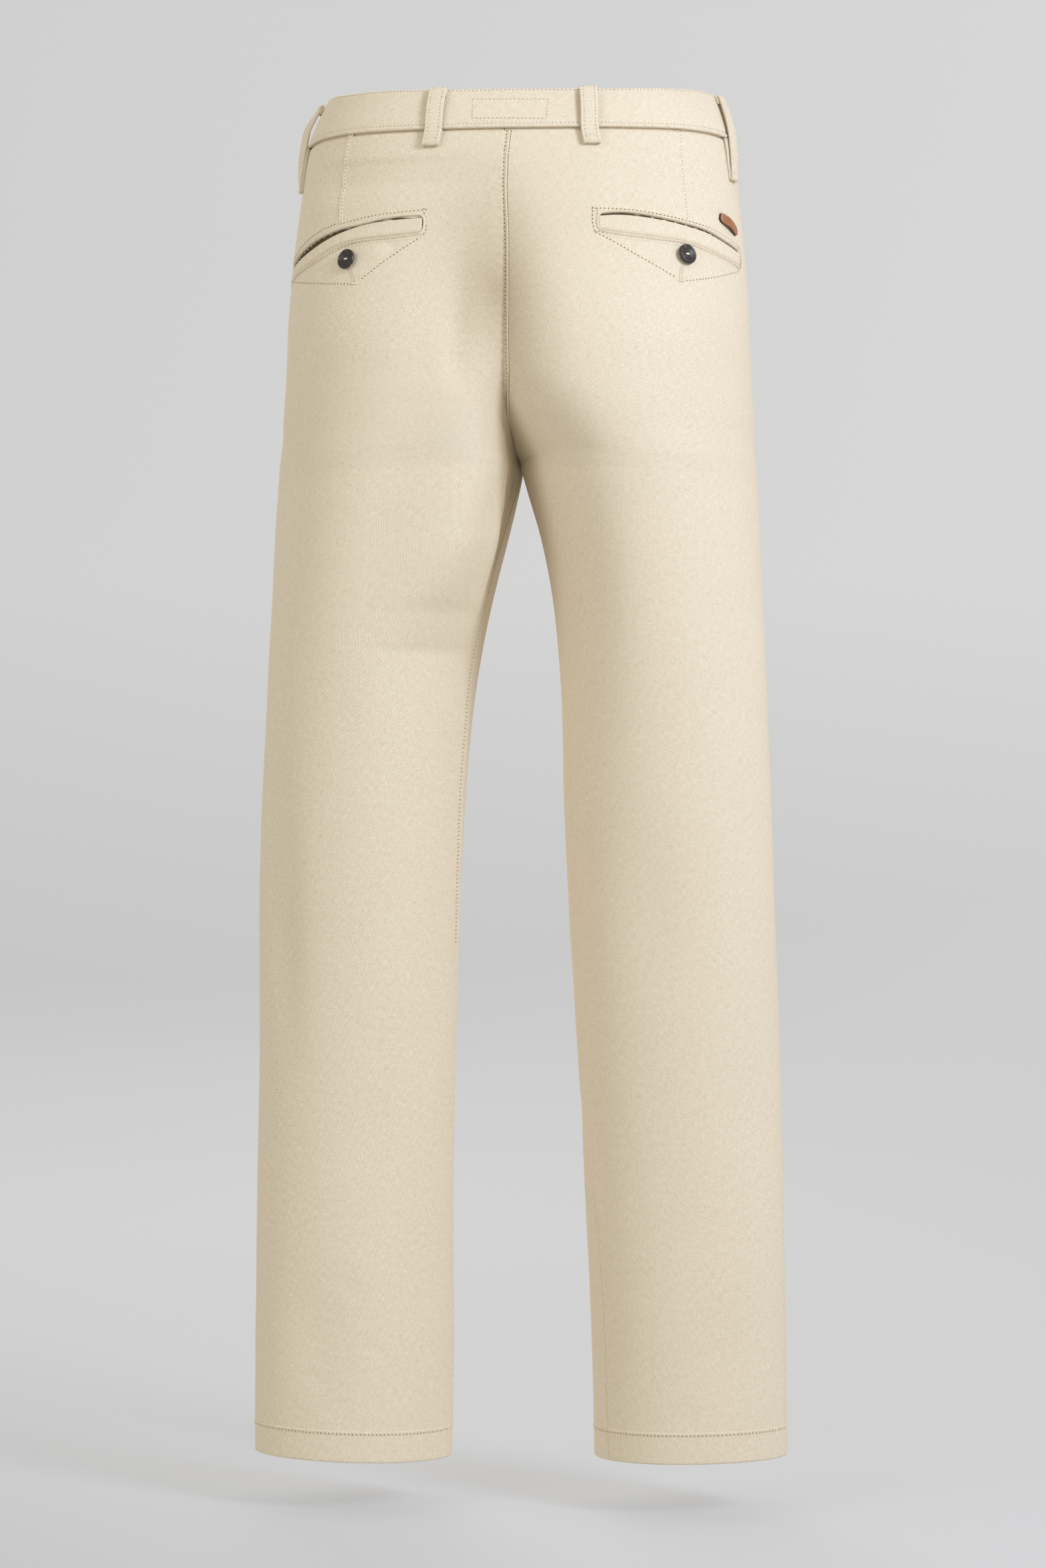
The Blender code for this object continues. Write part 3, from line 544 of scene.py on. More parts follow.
def stretch_twill():
    """Brushed cotton twill with some elastane: dull, with a soft sheen where it turns away, and shade
    painted into its colour in the hollow of the seat.
    """
    material, tree, shader = new_material(
        "beige stretch twill, brushed", Roughness=0.88, Specular_IOR_Level=0.25, Sheen_Weight=0.12,
        Sheen_Roughness=0.45, Sheen_Tint=to_linear("#f2e8d6"),
    )
    weave = add_node(tree, "ShaderNodeUVMap", {"uv_map": "weave"})
    scaled = add_node(
        tree, "ShaderNodeVectorMath", {"operation": "SCALE"}, Vector=weave.outputs["UV"], Scale=1000.0
    )
    turned = add_node(
        tree, "ShaderNodeVectorRotate", {"rotation_type": "Z_AXIS"},
        Vector=scaled.outputs["Vector"], Angle=RIB_TURN,
    )
    ribs = add_node(
        tree, "ShaderNodeTexWave", {"bands_direction": "X", "wave_profile": "SIN"},
        Vector=turned.outputs["Vector"], Scale=WAVE_BAND / TWILL_RIB, Distortion=1.2, Detail=1.0,
        Detail_Scale=1.6,
    )
    yarn_sets = []
    for wide, high in ((YARN_WIDTH, YARN_LENGTH), (YARN_LENGTH, YARN_WIDTH)):
        stretched = add_node(
            tree, "ShaderNodeMapping", Vector=scaled.outputs["Vector"], Scale=(1 / wide, 1 / high, 1.0)
        )
        yarn_sets.append(add_node(
            tree, "ShaderNodeTexNoise", Vector=stretched.outputs["Vector"], Scale=1.0, Detail=2.0
        ))
    warp, weft = yarn_sets
    yarns = add_node(
        tree, "ShaderNodeMath", {"operation": "ADD"}, i0=warp.outputs["Fac"], i1=weft.outputs["Fac"]
    )
    yarn_tone = add_node(
        tree, "ShaderNodeMapRange",
        Value=yarns.outputs["Value"], From_Min=0.7, From_Max=1.3, To_Min=0.0, To_Max=1.0,
    )
    place = add_node(tree, "ShaderNodeTexCoord")
    patches = add_node(
        tree, "ShaderNodeTexNoise", Vector=place.outputs["Object"], Scale=1000 / DYE_PATCH, Detail=3.0
    )
    tone = add_node(
        tree, "ShaderNodeMix", {"data_type": "RGBA", "blend_type": "MIX"},
        Factor=yarn_tone.outputs["Result"], A=to_linear("#d4c7ae"), B=to_linear("#ebe0cc"),
    )
    rib_shade = add_node(
        tree, "ShaderNodeMapRange", Value=ribs.outputs["Fac"], To_Min=0.94, To_Max=1.03
    )
    patch_shade = add_node(
        tree, "ShaderNodeMapRange", Value=patches.outputs["Fac"], To_Min=0.985, To_Max=1.015
    )
    # Painted shade: a soft patch round the hollow of the seat where the colour is darkened and warmed
    painted_shade_place = add_node(
        tree, "ShaderNodeMapping", {"vector_type": "TEXTURE"}, Vector=place.outputs["Object"],
        Location=PAINTED_SHADE_MIDDLE, Rotation=(0, PAINTED_SHADE_LEAN, 0), Scale=PAINTED_SHADE_REACH,
    )
    hollow = add_node(
        tree, "ShaderNodeTexGradient", {"gradient_type": "QUADRATIC_SPHERE"},
        Vector=painted_shade_place.outputs["Vector"],
    )
    painted_shade_tone = add_node(
        tree, "ShaderNodeMix", {"data_type": "RGBA", "blend_type": "MULTIPLY"},
        Factor=hollow.outputs["Fac"], A=tone.outputs["Result"], B=to_linear("#d1cbbf"),
    )
    shade = add_node(
        tree, "ShaderNodeMath", {"operation": "MULTIPLY"},
        i0=rib_shade.outputs["Result"], i1=patch_shade.outputs["Result"],
    )
    colour = add_node(
        tree, "ShaderNodeVectorMath", {"operation": "SCALE"},
        Vector=painted_shade_tone.outputs["Result"], Scale=shade.outputs["Value"],
    )
    relief = add_node(
        tree, "ShaderNodeMath", {"operation": "MULTIPLY_ADD"},
        i0=yarns.outputs["Value"], i1=0.4, i2=ribs.outputs["Fac"],
    )
    bump = add_node(
        tree, "ShaderNodeBump", Strength=0.5, Distance=YARN_RELIEF, Height=relief.outputs["Value"]
    )
    tree.links.new(colour.outputs["Vector"], shader.inputs["Base Color"])
    tree.links.new(bump.outputs["Normal"], shader.inputs["Normal"])
    return material


TWILL = stretch_twill()
CLOTH_WALL = 0.7
WELD_DISTANCE = 0.000004


def lengths_along(points):
    """How far each point of a line, or of each of several lines, lies from the line's start."""
    steps = np.linalg.norm(np.diff(points, axis=-2), axis=-1)
    return np.concatenate((np.zeros(steps.shape[:-1] + (1,)), np.cumsum(steps, axis=-1)), axis=-1)


def weave_lengths(points):
    """How far each point lies across and down its piece of cloth, in metres."""
    return lengths_along(points) / 1000, lengths_along(points.swapaxes(0, 1)).T / 1000


def cloth_mesh(name, points, lengths, facing=None, weld=False):
    """A flat grid of cloth with its weave coordinates, moved onto its points."""
    rows, columns = points.shape[:2]
    across, down = lengths
    sheet = bmesh.new()
    bmesh.ops.create_grid(sheet, x_segments=columns - 1, y_segments=rows - 1, size=0.5)
    weave = sheet.loops.layers.uv.new("weave")
    spots = {
        vertex: (round((0.5 - vertex.co.y) * (rows - 1)), round((vertex.co.x + 0.5) * (columns - 1)))
        for vertex in sheet.verts
    }
    for face in sheet.faces:
        for loop in face.loops:
            spot = spots[loop.vert]
            loop[weave].uv = (across[spot], -down[spot])
    for vertex, spot in spots.items():
        vertex.co = Vector(points[spot]) / 1000
    if facing is not None:
        rightward = np.diff(points, axis=1)[:-1]
        downward = np.diff(points, axis=0)[:, :-1]
        towards = -(np.cross(rightward, downward) * facing[:-1, :-1]).sum()
        if towards < 0:
            bmesh.ops.reverse_faces(sheet, faces=sheet.faces)
    if weld:
        bmesh.ops.remove_doubles(sheet, verts=sheet.verts, dist=WELD_DISTANCE)
        bmesh.ops.holes_fill(sheet, edges=[edge for edge in sheet.edges if edge.is_boundary], sides=0)
        bmesh.ops.recalc_face_normals(sheet, faces=sheet.faces)
    mesh = bpy.data.meshes.new(name)
    sheet.to_mesh(mesh)
    sheet.free()
    mesh.shade_smooth()
    return mesh


def new_piece(name, mesh, slot, *finishes):
    """A piece of the trousers: all of them ride on the one body."""
    for finish in finishes:
        mesh.materials.append(finish)
    piece = bpy.data.objects.new(name, mesh)
    bpy.context.collection.objects.link(piece)
    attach(piece, "root")
    return piece


def cloth(name, points, facing, wall=CLOTH_WALL, slot="twill", finish=TWILL):
    """A thin shell of cloth with its outer face on its points."""
    mesh = cloth_mesh(name, points, weave_lengths(points), facing)
    piece = new_piece(name, mesh, slot, finish)
    solidify = piece.modifiers.new("thickness of the cloth", "SOLIDIFY")
    solidify.thickness = wall / 1000
    solidify.offset = -1
    return piece


def tube_cloth(name, points, slot="twill", finish=TWILL):
    """A folded strip of cloth: each row of points is one closed outline of it."""
    closed = np.concatenate((points, points[:, :1]), axis=1)
    return new_piece(name, cloth_mesh(name, closed, weave_lengths(closed), weld=True), slot, finish)


def cut_size(points):
    """Width, length and area in metres of the cloth that lies on some points."""
    across, down = weave_lengths(points)
    rightward = np.diff(points, axis=1)[:-1]
    downward = np.diff(points, axis=0)[:, :-1]
    area = np.linalg.norm(np.cross(rightward, downward), axis=2).sum() / 1e6
    width = float(across[:, -1].max())
    length = float(down[-1].max())
    return width, length, min(float(area), width * length)


# Panels ------------------------------------------------------------------------------------------
# Two backs and two fronts, each cut in one piece from the band to the hem, with its edges turned in
# at the seams. The tops go up inside the band, and the hems are turned up 20 mm inside.
OUTSEAM_ANGLE = 104.0
CROTCH_OUTSIDE_DROP = 305
LEG_JOIN_DROP = 430
HEM_DEPTH = 20
HAND_POCKET_DROP = 200
HAND_POCKET_SET_IN = 19.0
# Drop and lift of the cloth's rows where the band is sewn on, and of those round the hem's fold
DITCH_ROWS = ((34, 0.2), (39, 0.1), (41.2, -0.9), (42.0, -1.7), (42.8, -1.6), (43.6, -0.7), (44.6, -0.15))
HEM_ROWS = (
    (-0.5, -0.12), (0.0, -0.75), (-0.4, -1.4), (-2.0, -1.6), (-7.0, -1.65), (-14.0, -1.65), (-19.5, -1.6),
)
HEM_FOLD = 1.5
# Lengths down a panel that its rows are spread over, and how the rows level out from the crotch
SEAT_RUN = 380
CROTCH_RUN = 140
LEVELLING = 1.5
# Distance from a panel's edge, and lift, where the edge is turned in
EDGE_STEPS = (0.0, 0.0, 0.45, 1.0, 2.0, 3.6, 5.6)
EDGE_LIFTS = (-2.4, -0.75, -0.26, -0.06, 0.0, 0.0, 0.0)


def hand_pocket_angle(side, drop):
    """Angle of a front's outer edge: the outseam, and above it the slanting pocket mouth."""
    part = (HAND_POCKET_DROP - np.asarray(drop, float)) / (HAND_POCKET_DROP - BAND_HEIGHT)
    return OUTSEAM_ANGLE + HAND_POCKET_SET_IN * np.maximum(part, 0.0)


def outseam_angle(side, drop):
    """Angle of the outseam, the same all the way down."""
    return np.full(np.shape(drop), OUTSEAM_ANGLE)


def seam_drops(seam, count):
    """Drops from under the band to the crotch that part a centre seam into equal lengths."""
    drops = np.linspace(DITCH_ROWS[-1][0], CROTCH_DROP, 400)
    steps = np.hypot(np.diff(size(seam, drops)), np.diff(drops))
    lengths = np.concatenate(([0], np.cumsum(steps)))
    return np.interp(np.linspace(0, lengths[-1], count), lengths, drops)


def panel_rows(side, seam, spacing):
    """Drop at the inner seam, drop at the outer edge, and lift, of each row of a panel."""
    top, top_lift = DITCH_ROWS[-1]
    count = round(SEAT_RUN / spacing)
    inner = list(seam_drops(seam, count))
    outer = list(np.linspace(top, CROTCH_OUTSIDE_DROP, count))
    part = np.linspace(0, 1, round(CROTCH_RUN / spacing))[1:]
    inner += list(CROTCH_DROP + (LEG_JOIN_DROP - CROTCH_DROP) * part ** LEVELLING)
    outer += list(CROTCH_OUTSIDE_DROP + (LEG_JOIN_DROP - CROTCH_OUTSIDE_DROP) * part)
    hem = LEG_LENGTH[side]
    leg = np.linspace(LEG_JOIN_DROP, hem - HEM_FOLD, round((hem - LEG_JOIN_DROP) / spacing))[1:]
    rows = [(drop, drop, lift) for drop, lift in DITCH_ROWS[:-1]]
    rows.append((inner[0], outer[0], top_lift))
    rows += [(inner_drop, outer_drop, 0.0) for inner_drop, outer_drop in zip(inner[1:], outer[1:])]
    rows += [(drop, drop, 0.0) for drop in leg]
    rows += [(hem + step, hem + step, lift) for step, lift in HEM_ROWS]
    return rows


def panel_places(side, seam, inner_edge, outer_edge, spacing, columns):
    """Angle, drop and lift of a panel's points, evenly spaced by length between turned-in edges."""
    inner, outer, row_lift = (np.array(values) for values in zip(*panel_rows(side, seam, spacing)))
    parts = np.linspace(0, 1, 150)
    blend = (1 - parts) ** LEVELLING
    drop = outer[:, None] + (inner - outer)[:, None] * blend
    start = inner_edge(side, drop)
    angle = start + (outer_edge(side, drop) - start) * parts
    middle = np.linspace(0, 1, columns)[1:-1]
    margin = EDGE_STEPS[-1]
    angles, drops = [], []
    for row, reach in enumerate(lengths_along(form(side, angle, drop))):
        wide = reach[-1]
        between = margin + (wide - 2 * margin) * middle
        places = np.concatenate((EDGE_STEPS, between, wide - np.array(EDGE_STEPS[::-1])))
        angles.append(np.interp(places, reach, angle[row]))
        drops.append(np.interp(places, reach, drop[row]))
    edge = np.concatenate((EDGE_LIFTS, np.zeros(columns - 2), EDGE_LIFTS[::-1]))
    return np.array(angles), np.array(drops), edge[None, :] + row_lift[:, None]


# The mouth of each back pocket: angles, with the drops between which the back is cut away
MOUTH_NAMES = ("at", "upper", "lower")
MOUTHS = {
    "left": (
        (8.0, 110.8, 123.4), (23.0, 111.9, 125.8), (30.0, 115.0, 126.5), (40.0, 117.1, 130.0),
        (50.0, 122.1, 137.6), (60.0, 128.1, 142.6), (70.0, 134.6, 146.8), (77.5, 139.0, 150.5),
    ),
    "right": (
        (12.0, 110.9, 123.2), (20.0, 109.5, 125.9), (27.0, 110.5, 127.5), (36.0, 113.6, 128.9),
        (45.0, 116.8, 130.6), (54.0, 119.9, 135.6), (62.0, 125.0, 138.8), (78.5, 132.1, 143.5),
    ),
}
# How deep the back sinks there and how far past the mouth's edges, and the run of its slopes at the
# edges, in millimetres, and at the ends, in degrees
MOUTH_DEPTH = 3.2
MOUTH_LIP = 0.6
MOUTH_EDGE = 1.6
MOUTH_END = 0.8


def mouth_depth(side, angles, drops):
    """How far the back sinks into its pocket mouth."""
    mouth = as_columns(MOUTH_NAMES, MOUTHS[side])
    upper = np.interp(angles, mouth["at"], mouth["upper"]) - MOUTH_LIP
    lower = np.interp(angles, mouth["at"], mouth["lower"]) + MOUTH_LIP
    inside = soft_step((drops - upper) / MOUTH_EDGE) * soft_step((lower - drops) / MOUTH_EDGE)
    first, last = mouth["at"][[0, -1]]
    ends = soft_step((angles - first) / MOUTH_END) * soft_step((last - angles) / MOUTH_END)
    return MOUTH_DEPTH * inside * ends


# Name, centre seam, inner and outer edge, spacing of the rows in millimetres, and columns
PANELS = (
    ("back", "seat", back_seam, outseam_angle, 3.0, 88),
    ("front", "fly", front_seam, hand_pocket_angle, 4.6, 60),
)
for part, seam, inner_edge, outer_edge, spacing, columns in PANELS:
    for side in SIDES:
        name = f"{part}_{side}"
        angles, drops, lift = panel_places(side, seam, inner_edge, outer_edge, spacing, columns)
        if part == "back":
            lift = lift - mouth_depth(side, angles, drops)
        points = lay(side, angles, drops, lift)
        panel = cloth(name + "_cloth", points, outward(side, angles, drops))
        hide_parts(name)
        width, length, area = cut_size(points)

# Stitching ---------------------------------------------------------------------------------------
# Cream polyester thread in lockstitch, ten stitches to 30 mm. Each stitch is a short drawn-in length
# of thread, and it dives into a needle hole whose shadow is painted as a small dark disc.
STITCH_PITCH = 3.0
THREAD_THICKNESS = 0.68
BAR_THICKNESS = 0.6
HOLE_SHADOW_RADIUS = 0.48
# Where a stitch starts and ends between its two holes
STITCH_START = 0.13
STITCH_END = 0.87
SHORT_MESH = 400
SUNK_END = 0.5
# Length of one twist of the thread, and of the patches over which the holes' painted shadow varies
THREAD_TWIST = 0.556
HOLE_SHADOW_PATCH = 3.85


def mottle(tree, shader, patch, dark, light, detail=1.0, distortion=0.0):
    """Colour that wavers between two tones, in patches of a size in millimetres."""
    place = add_node(tree, "ShaderNodeTexCoord")
    waver = add_node(
        tree, "ShaderNodeTexNoise",
        Vector=place.outputs["Object"], Scale=1000 / patch, Detail=detail, Distortion=distortion,
    )
    tone = add_node(tree, "ShaderNodeValToRGB", Fac=waver.outputs["Fac"])
    tone.color_ramp.elements[0].color = to_linear(dark)
    tone.color_ramp.elements[1].color = to_linear(light)
    tree.links.new(tone.outputs["Color"], shader.inputs["Base Color"])
    return place, tone


def spun_thread():
    """Spun polyester: two twisted plies, slightly glossy, cream."""
    material, tree, shader = new_material(
        "spun polyester thread, cream", Roughness=0.6, Specular_IOR_Level=0.4
    )
    mottle(tree, shader, THREAD_TWIST, "#d6c9ac", "#f6eedb")
    return material


def needle_hole_shadow():
    """Painted shadow in a needle hole: brown, uneven, with no shine."""
    material, tree, shader = new_material("needle hole in twill", Roughness=1.0, Specular_IOR_Level=0.0)
    mottle(tree, shader, HOLE_SHADOW_PATCH, "#57442a", "#8a7450")
    return material


THREAD = spun_thread()
HOLE_SHADOW = needle_hole_shadow()


def trace(side, nodes, step=2.0, rounds=2):
    """Angles and drops, evenly spaced by length, along a line of nodes whose corners are cut."""
    line = np.array(nodes, float)
    for _ in range(rounds):
        near = line[:-1] * 0.75 + line[1:] * 0.25
        far = line[:-1] * 0.25 + line[1:] * 0.75
        line = np.concatenate((line[:1], np.stack((near, far), axis=1).reshape(-1, 2), line[-1:]))
    spots = np.linspace(0, len(line) - 1, 12 * len(line))
    angles = np.interp(spots, np.arange(len(line)), line[:, 0])
    drops = np.interp(spots, np.arange(len(line)), line[:, 1])
    lengths = lengths_along(form(side, angles, drops))
    places = np.linspace(0, lengths[-1], max(3, round(lengths[-1] / step) + 1))
    return np.interp(places, lengths, angles), np.interp(places, lengths, drops)


def beside(side, angles, drops, across):
    """The line that lies a distance to one side: below a line that runs round from the back."""
    near = SLOPE_TURN / 2
    low = np.maximum(angles - near, back_seam(side, drops))
    high = np.maximum(np.minimum(angles + near, front_seam(side, drops)), low + near)
    per_degree = (form(side, high, drops) - form(side, low, drops)) / (high - low)[:, None]
    per_drop = (form(side, angles, drops + 1) - form(side, angles, np.maximum(drops - 1, 0))) / 2
    run = np.gradient(form(side, angles, drops), axis=0)
    aside = np.cross(outward(side, angles, drops), run) * SIDES[side]
    aside /= np.linalg.norm(aside, axis=1, keepdims=True)
    aa = (per_degree ** 2).sum(axis=1)
    ad = (per_degree * per_drop).sum(axis=1)
    dd = (per_drop ** 2).sum(axis=1)
    on_angle = (aside * per_degree).sum(axis=1)
    on_drop = (aside * per_drop).sum(axis=1)
    spread = aa * dd - ad * ad
    angle_step = (on_angle * dd - on_drop * ad) / spread
    drop_step = (on_drop * aa - on_angle * ad) / spread
    return angles + angle_step * across, np.maximum(drops + drop_step * across, 0)


def short_mesh(threads):
    """The mesh that the next stitch goes into: they are kept short, because long ones grow slow."""
    if not threads or len(threads[-1].verts) > SHORT_MESH:
        threads.append(bmesh.new())
    return threads[-1]


def add_stitch(threads, start, end, normal, thickness=THREAD_THICKNESS):
    """One stitch: a spindle of thread between two points, in millimetres."""
    start, end, normal = Vector(start), Vector(end), Vector(normal)
    along = end - start
    length = along.length
    if length < 0.05:
        return
    along /= length
    across = normal.cross(along).normalized()
    over = along.cross(across)
    turn = Matrix((across, over, along)).transposed().to_4x4()
    shape = Matrix.Diagonal((thickness / 2000, thickness / 2500, length / 2000, 1.0))
    place = Matrix.Translation((start + end) / 2000) @ turn @ shape
    bmesh.ops.create_uvsphere(short_mesh(threads), u_segments=6, v_segments=4, radius=1.0, matrix=place)


def add_hole_shadow(threads, spot, normal, radius=HOLE_SHADOW_RADIUS):
    """One needle hole's painted shadow: a small dark disc on the cloth."""
    turn = Vector(normal).to_track_quat("Z", "Y").to_matrix().to_4x4()
    place = Matrix.Translation(Vector(spot) / 1000) @ turn
    made = bmesh.ops.create_circle(
        short_mesh(threads), cap_ends=True, segments=7, radius=radius / 1000, matrix=place
    )
    for face in {face for vertex in made["verts"] for face in vertex.link_faces}:
        face.material_index = 1


def sew_through(
    threads, points, normals, pitch=STITCH_PITCH, slant=0.25, thickness=THREAD_THICKNESS,
    hole_radius=HOLE_SHADOW_RADIUS,
):
    """Sew along a row of closely spaced points: stitches lean a little across their line."""
    lengths = lengths_along(points)
    count = max(1, round(lengths[-1] / pitch))
    pitch = lengths[-1] / count

    def at(places, values):
        """Points or directions at some lengths along the row."""
        return np.stack([np.interp(places, lengths, values[:, axis]) for axis in range(3)], axis=1)

    places = np.arange(count) * pitch
    starts = at(places + STITCH_START * pitch, points)
    ends = at(places + STITCH_END * pitch, points)
    holes = at(places, points)
    facing = at(places + 0.5 * pitch, normals)
    facing /= np.linalg.norm(facing, axis=1, keepdims=True)
    lean = np.cross(facing, ends - starts)
    lean /= np.linalg.norm(lean, axis=1, keepdims=True)
    for start, end, hole, normal, aside in zip(starts, ends, holes, facing, lean):
        add_stitch(threads, start - aside * slant / 2, end + aside * slant / 2, normal, thickness)
        add_hole_shadow(threads, hole, normal, hole_radius)


def sew(threads, side, nodes, lift=0.14, offset=0.0, rounds=2, **how):
    """Sew along a line of (angle, drop) nodes on the cloth."""
    angles, drops = trace(side, nodes, step=1.0, rounds=rounds)
    if offset:
        angles, drops = beside(side, angles, drops, offset)
    sew_through(threads, lay(side, angles, drops, lift), outward(side, angles, drops), **how)


def satin(threads, side, nodes, width, pitch, offset=0.0, lift=0.25):
    """Closely set stitches across a line, as round a buttonhole or in a bar tack."""
    angles, drops = trace(side, nodes, pitch, rounds=1)
    upper = lay(side, *beside(side, angles, drops, offset - width / 2), lift)
    lower = lay(side, *beside(side, angles, drops, offset + width / 2), lift)
    for start, end, normal in zip(upper, lower, outward(side, angles, drops)):
        add_stitch(threads, start, end, normal, BAR_THICKNESS)


def sewing_piece(name, threads):
    """Join some runs of sewing as one piece that rides on the trousers."""
    mesh = bpy.data.meshes.new(name)
    whole = bmesh.new()
    for run in threads:
        run.to_mesh(mesh)
        run.free()
        whole.from_mesh(mesh)
    whole.to_mesh(mesh)
    whole.free()
    mesh.shade_smooth()
    return new_piece(name, mesh, "twill", THREAD, HOLE_SHADOW)


def strip(name, side, line, profile, wall, fade=0.0):
    """A narrow turned edge of cloth along a line, with a profile of distance across and lift.

    It sinks into the cloth beneath over the fade at either end.
    """
    angles, drops = line
    reach = lengths_along(form(side, angles, drops))
    full = soft_step((reach + 0.01) / (fade + 0.01)) * soft_step((reach[-1] - reach + 0.01) / (fade + 0.01))
    lines = [beside(side, angles, drops, across) for across, _ in profile]
    grid_angles = np.array([line_angles for line_angles, _ in lines])
    grid_drops = np.array([line_drops for _, line_drops in lines])
    lifts = np.array([lift for _, lift in profile])[:, None]
    points = lay(side, grid_angles, grid_drops, lifts * full - SUNK_END * (1 - full))
    return cloth(name, points, outward(side, grid_angles, grid_drops), wall)


# Seams -------------------------------------------------------------------------------------------
# The centre-back seam is lapped, the left back over the right, and stitched twice, so it stands up
# as a narrow ridge. The inseams have two rows of stitches, down to 650 mm under the rim.

# Drop, and how far the lapped edge lies to the right of the middle, in millimetres
LAP_NAMES = ("at", "reach")
LAP = (
    (43, 5.0), (63, 3.1), (90, 2.3), (117, 3.7), (161, 5.0), (200, 5.5), (227, 6.4), (245, 4.4), (258, 2.0),
    (268, 0.6), (284, 0.2),
)
# Distance from the lapped edge to the left, and lift; then the same from the middle of the back
RIDGE_PROFILE = (
    (0.0, -0.9), (0.0, 0.2), (0.25, 0.75), (0.7, 1.0), (1.3, 0.9), (1.9, 0.5), (2.5, 0.05), (3.0, -0.05),
    (3.5, 0.1), (4.2, 0.22),
)
RIDGE_TAIL = (
    (1.0, 0.24), (2.4, 0.2), (4.0, 0.15), (5.6, 0.12), (7.2, 0.1), (8.8, 0.08), (10.4, 0.05), (12.0, 0.0),
    (13.6, -0.12), (15.0, -0.6),
)
RIDGE_WALL = 0.5
# Drops of the small puckers that the two rows of stitching draw in on their left
PUCKERS = (
    61, 71, 85, 90, 102, 110, 122, 131, 136, 144, 152, 160, 168, 179, 187, 193, 199, 206, 213, 221, 229,
    236, 243,
)
PUCKER_DEPTH = 0.42
PUCKER_WIDTH = 1.5
PUCKER_LEAN = 0.12
# The shortest pucker's length and what the longest adds to it, in millimetres
PUCKER_LENGTH = 7.0
PUCKER_EXTRA = 4.0
# Distance from the lapped edge where puckers start, over which they rise, and where they start to fade
PUCKER_START = 2.2
PUCKER_RISE = 1.6
PUCKER_FADE = 4.0
# Degrees that reach past the seam's sewing on either side
SEAT_SPREAD = 22


def across_the_seat(drops, distances):
    """Angles at distances from the middle of the back, positive towards the wearer's left."""
    angles = np.zeros(drops.shape)
    for side, way in SIDES.items():
        spread = back_seam(side, drops)[:, None] + np.linspace(0, SEAT_SPREAD, 90)
        reach = lengths_along(form(side, spread, drops[:, None]))
        mine = distances >= 0 if way > 0 else distances < 0
        for place in np.flatnonzero(mine):
            angles[place] = np.interp(abs(distances[place]), reach[place], spread[place])
    return angles


def on_the_seat(drops, distances, lifts):
    """Points and outward directions at distances from the middle of the back."""
    points = np.zeros(drops.shape + (3,))
    facing = np.zeros(drops.shape + (3,))
    angles = across_the_seat(drops, distances)
    for side, mine in (("left", distances >= 0), ("right", distances < 0)):
        if mine.any():
            points[mine] = lay(side, angles[mine], drops[mine], lifts[mine])
            facing[mine] = outward(side, angles[mine], drops[mine])
    return points, facing


def pucker_height(drops, distances):
    """How far the puckers raise the cloth at distances to the left of the lapped edge.

    Each is a crest with a hollow above it, and no two have quite the same length and lean.
    """
    height = np.zeros(drops.shape)
    for place, pucker in enumerate(PUCKERS):
        long = PUCKER_LENGTH + PUCKER_EXTRA * (0.5 + 0.5 * math.sin(place * 2.3))
        rise = soft_step((distances - PUCKER_START) / PUCKER_RISE)
        fall = 1 - soft_step((distances - PUCKER_FADE) / long)
        lean = PUCKER_LEAN * (distances - PUCKER_FADE) * math.sin(place * 1.7)
        across = (drops - pucker - lean) / PUCKER_WIDTH
        crest = np.exp(-((across - 1.0) ** 2))
        hollow = np.exp(-((across + 0.4) ** 2))
        height += rise * fall * (crest - hollow) * PUCKER_DEPTH
    return height


def lap_line(count):
    """Drops down the seat seam, evenly spaced by length, and how far the lap reaches to the right."""
    lap = as_columns(LAP_NAMES, LAP)
    drops = np.interp(np.linspace(0, 1, count), np.linspace(0, 1, 200), seam_drops("seat", 200))
    drops = drops[drops < lap["at"][-1]]
    return drops, np.interp(drops, lap["at"], lap["reach"])


lap_drops, lap_reach = lap_line(230)
ridge_places = [(distance - lap_reach, lift) for distance, lift in RIDGE_PROFILE]
for distance, lift in RIDGE_TAIL:
    ridge_places.append((np.maximum(distance, ridge_places[-1][0] + 0.5), lift))
ridge_rows = []
for places, lift in ridge_places:
    raised = lift + (pucker_height(lap_drops, places + lap_reach) if lift > 0 else 0)
    ridge_rows.append(on_the_seat(lap_drops, places, np.full(len(lap_drops), raised)))
ridge_points = np.array([points for points, _ in ridge_rows]).transpose(1, 0, 2)
ridge_facing = np.array([facing for _, facing in ridge_rows]).transpose(1, 0, 2)
cloth("seat_seam_ridge", ridge_points, ridge_facing, RIDGE_WALL)

# Distance of each row of stitches from the lapped edge, lift, and how it is sewn
SEAT_STITCHES = (
    (2.9, 0.12, {"slant": 0.9, "thickness": 0.55}),
    (-0.35, 0.05, {"pitch": 1.6, "thickness": 0.3}),
)
sew_drops, sew_reach = lap_line(500)
seat_seam = []
for distance, lift, how in SEAT_STITCHES:
    points, facing = on_the_seat(sew_drops, distance - sew_reach, np.full(len(sew_drops), lift))
    sew_through(seat_seam, points, facing, **how)
sewing_piece("stitches_seat_seam", seat_seam)

# The turned-up hem draws into a low ridge just above its stitches: distance below them, and lift
HEM_RIDGE = (
    (-3.0, -0.3), (-2.3, 0.08), (-1.7, 0.4), (-1.1, 0.55), (-0.6, 0.35), (-0.15, -0.02), (0.3, -0.3),
)
HEM_RIDGE_WALL = 0.3
HEM_NODES = 50
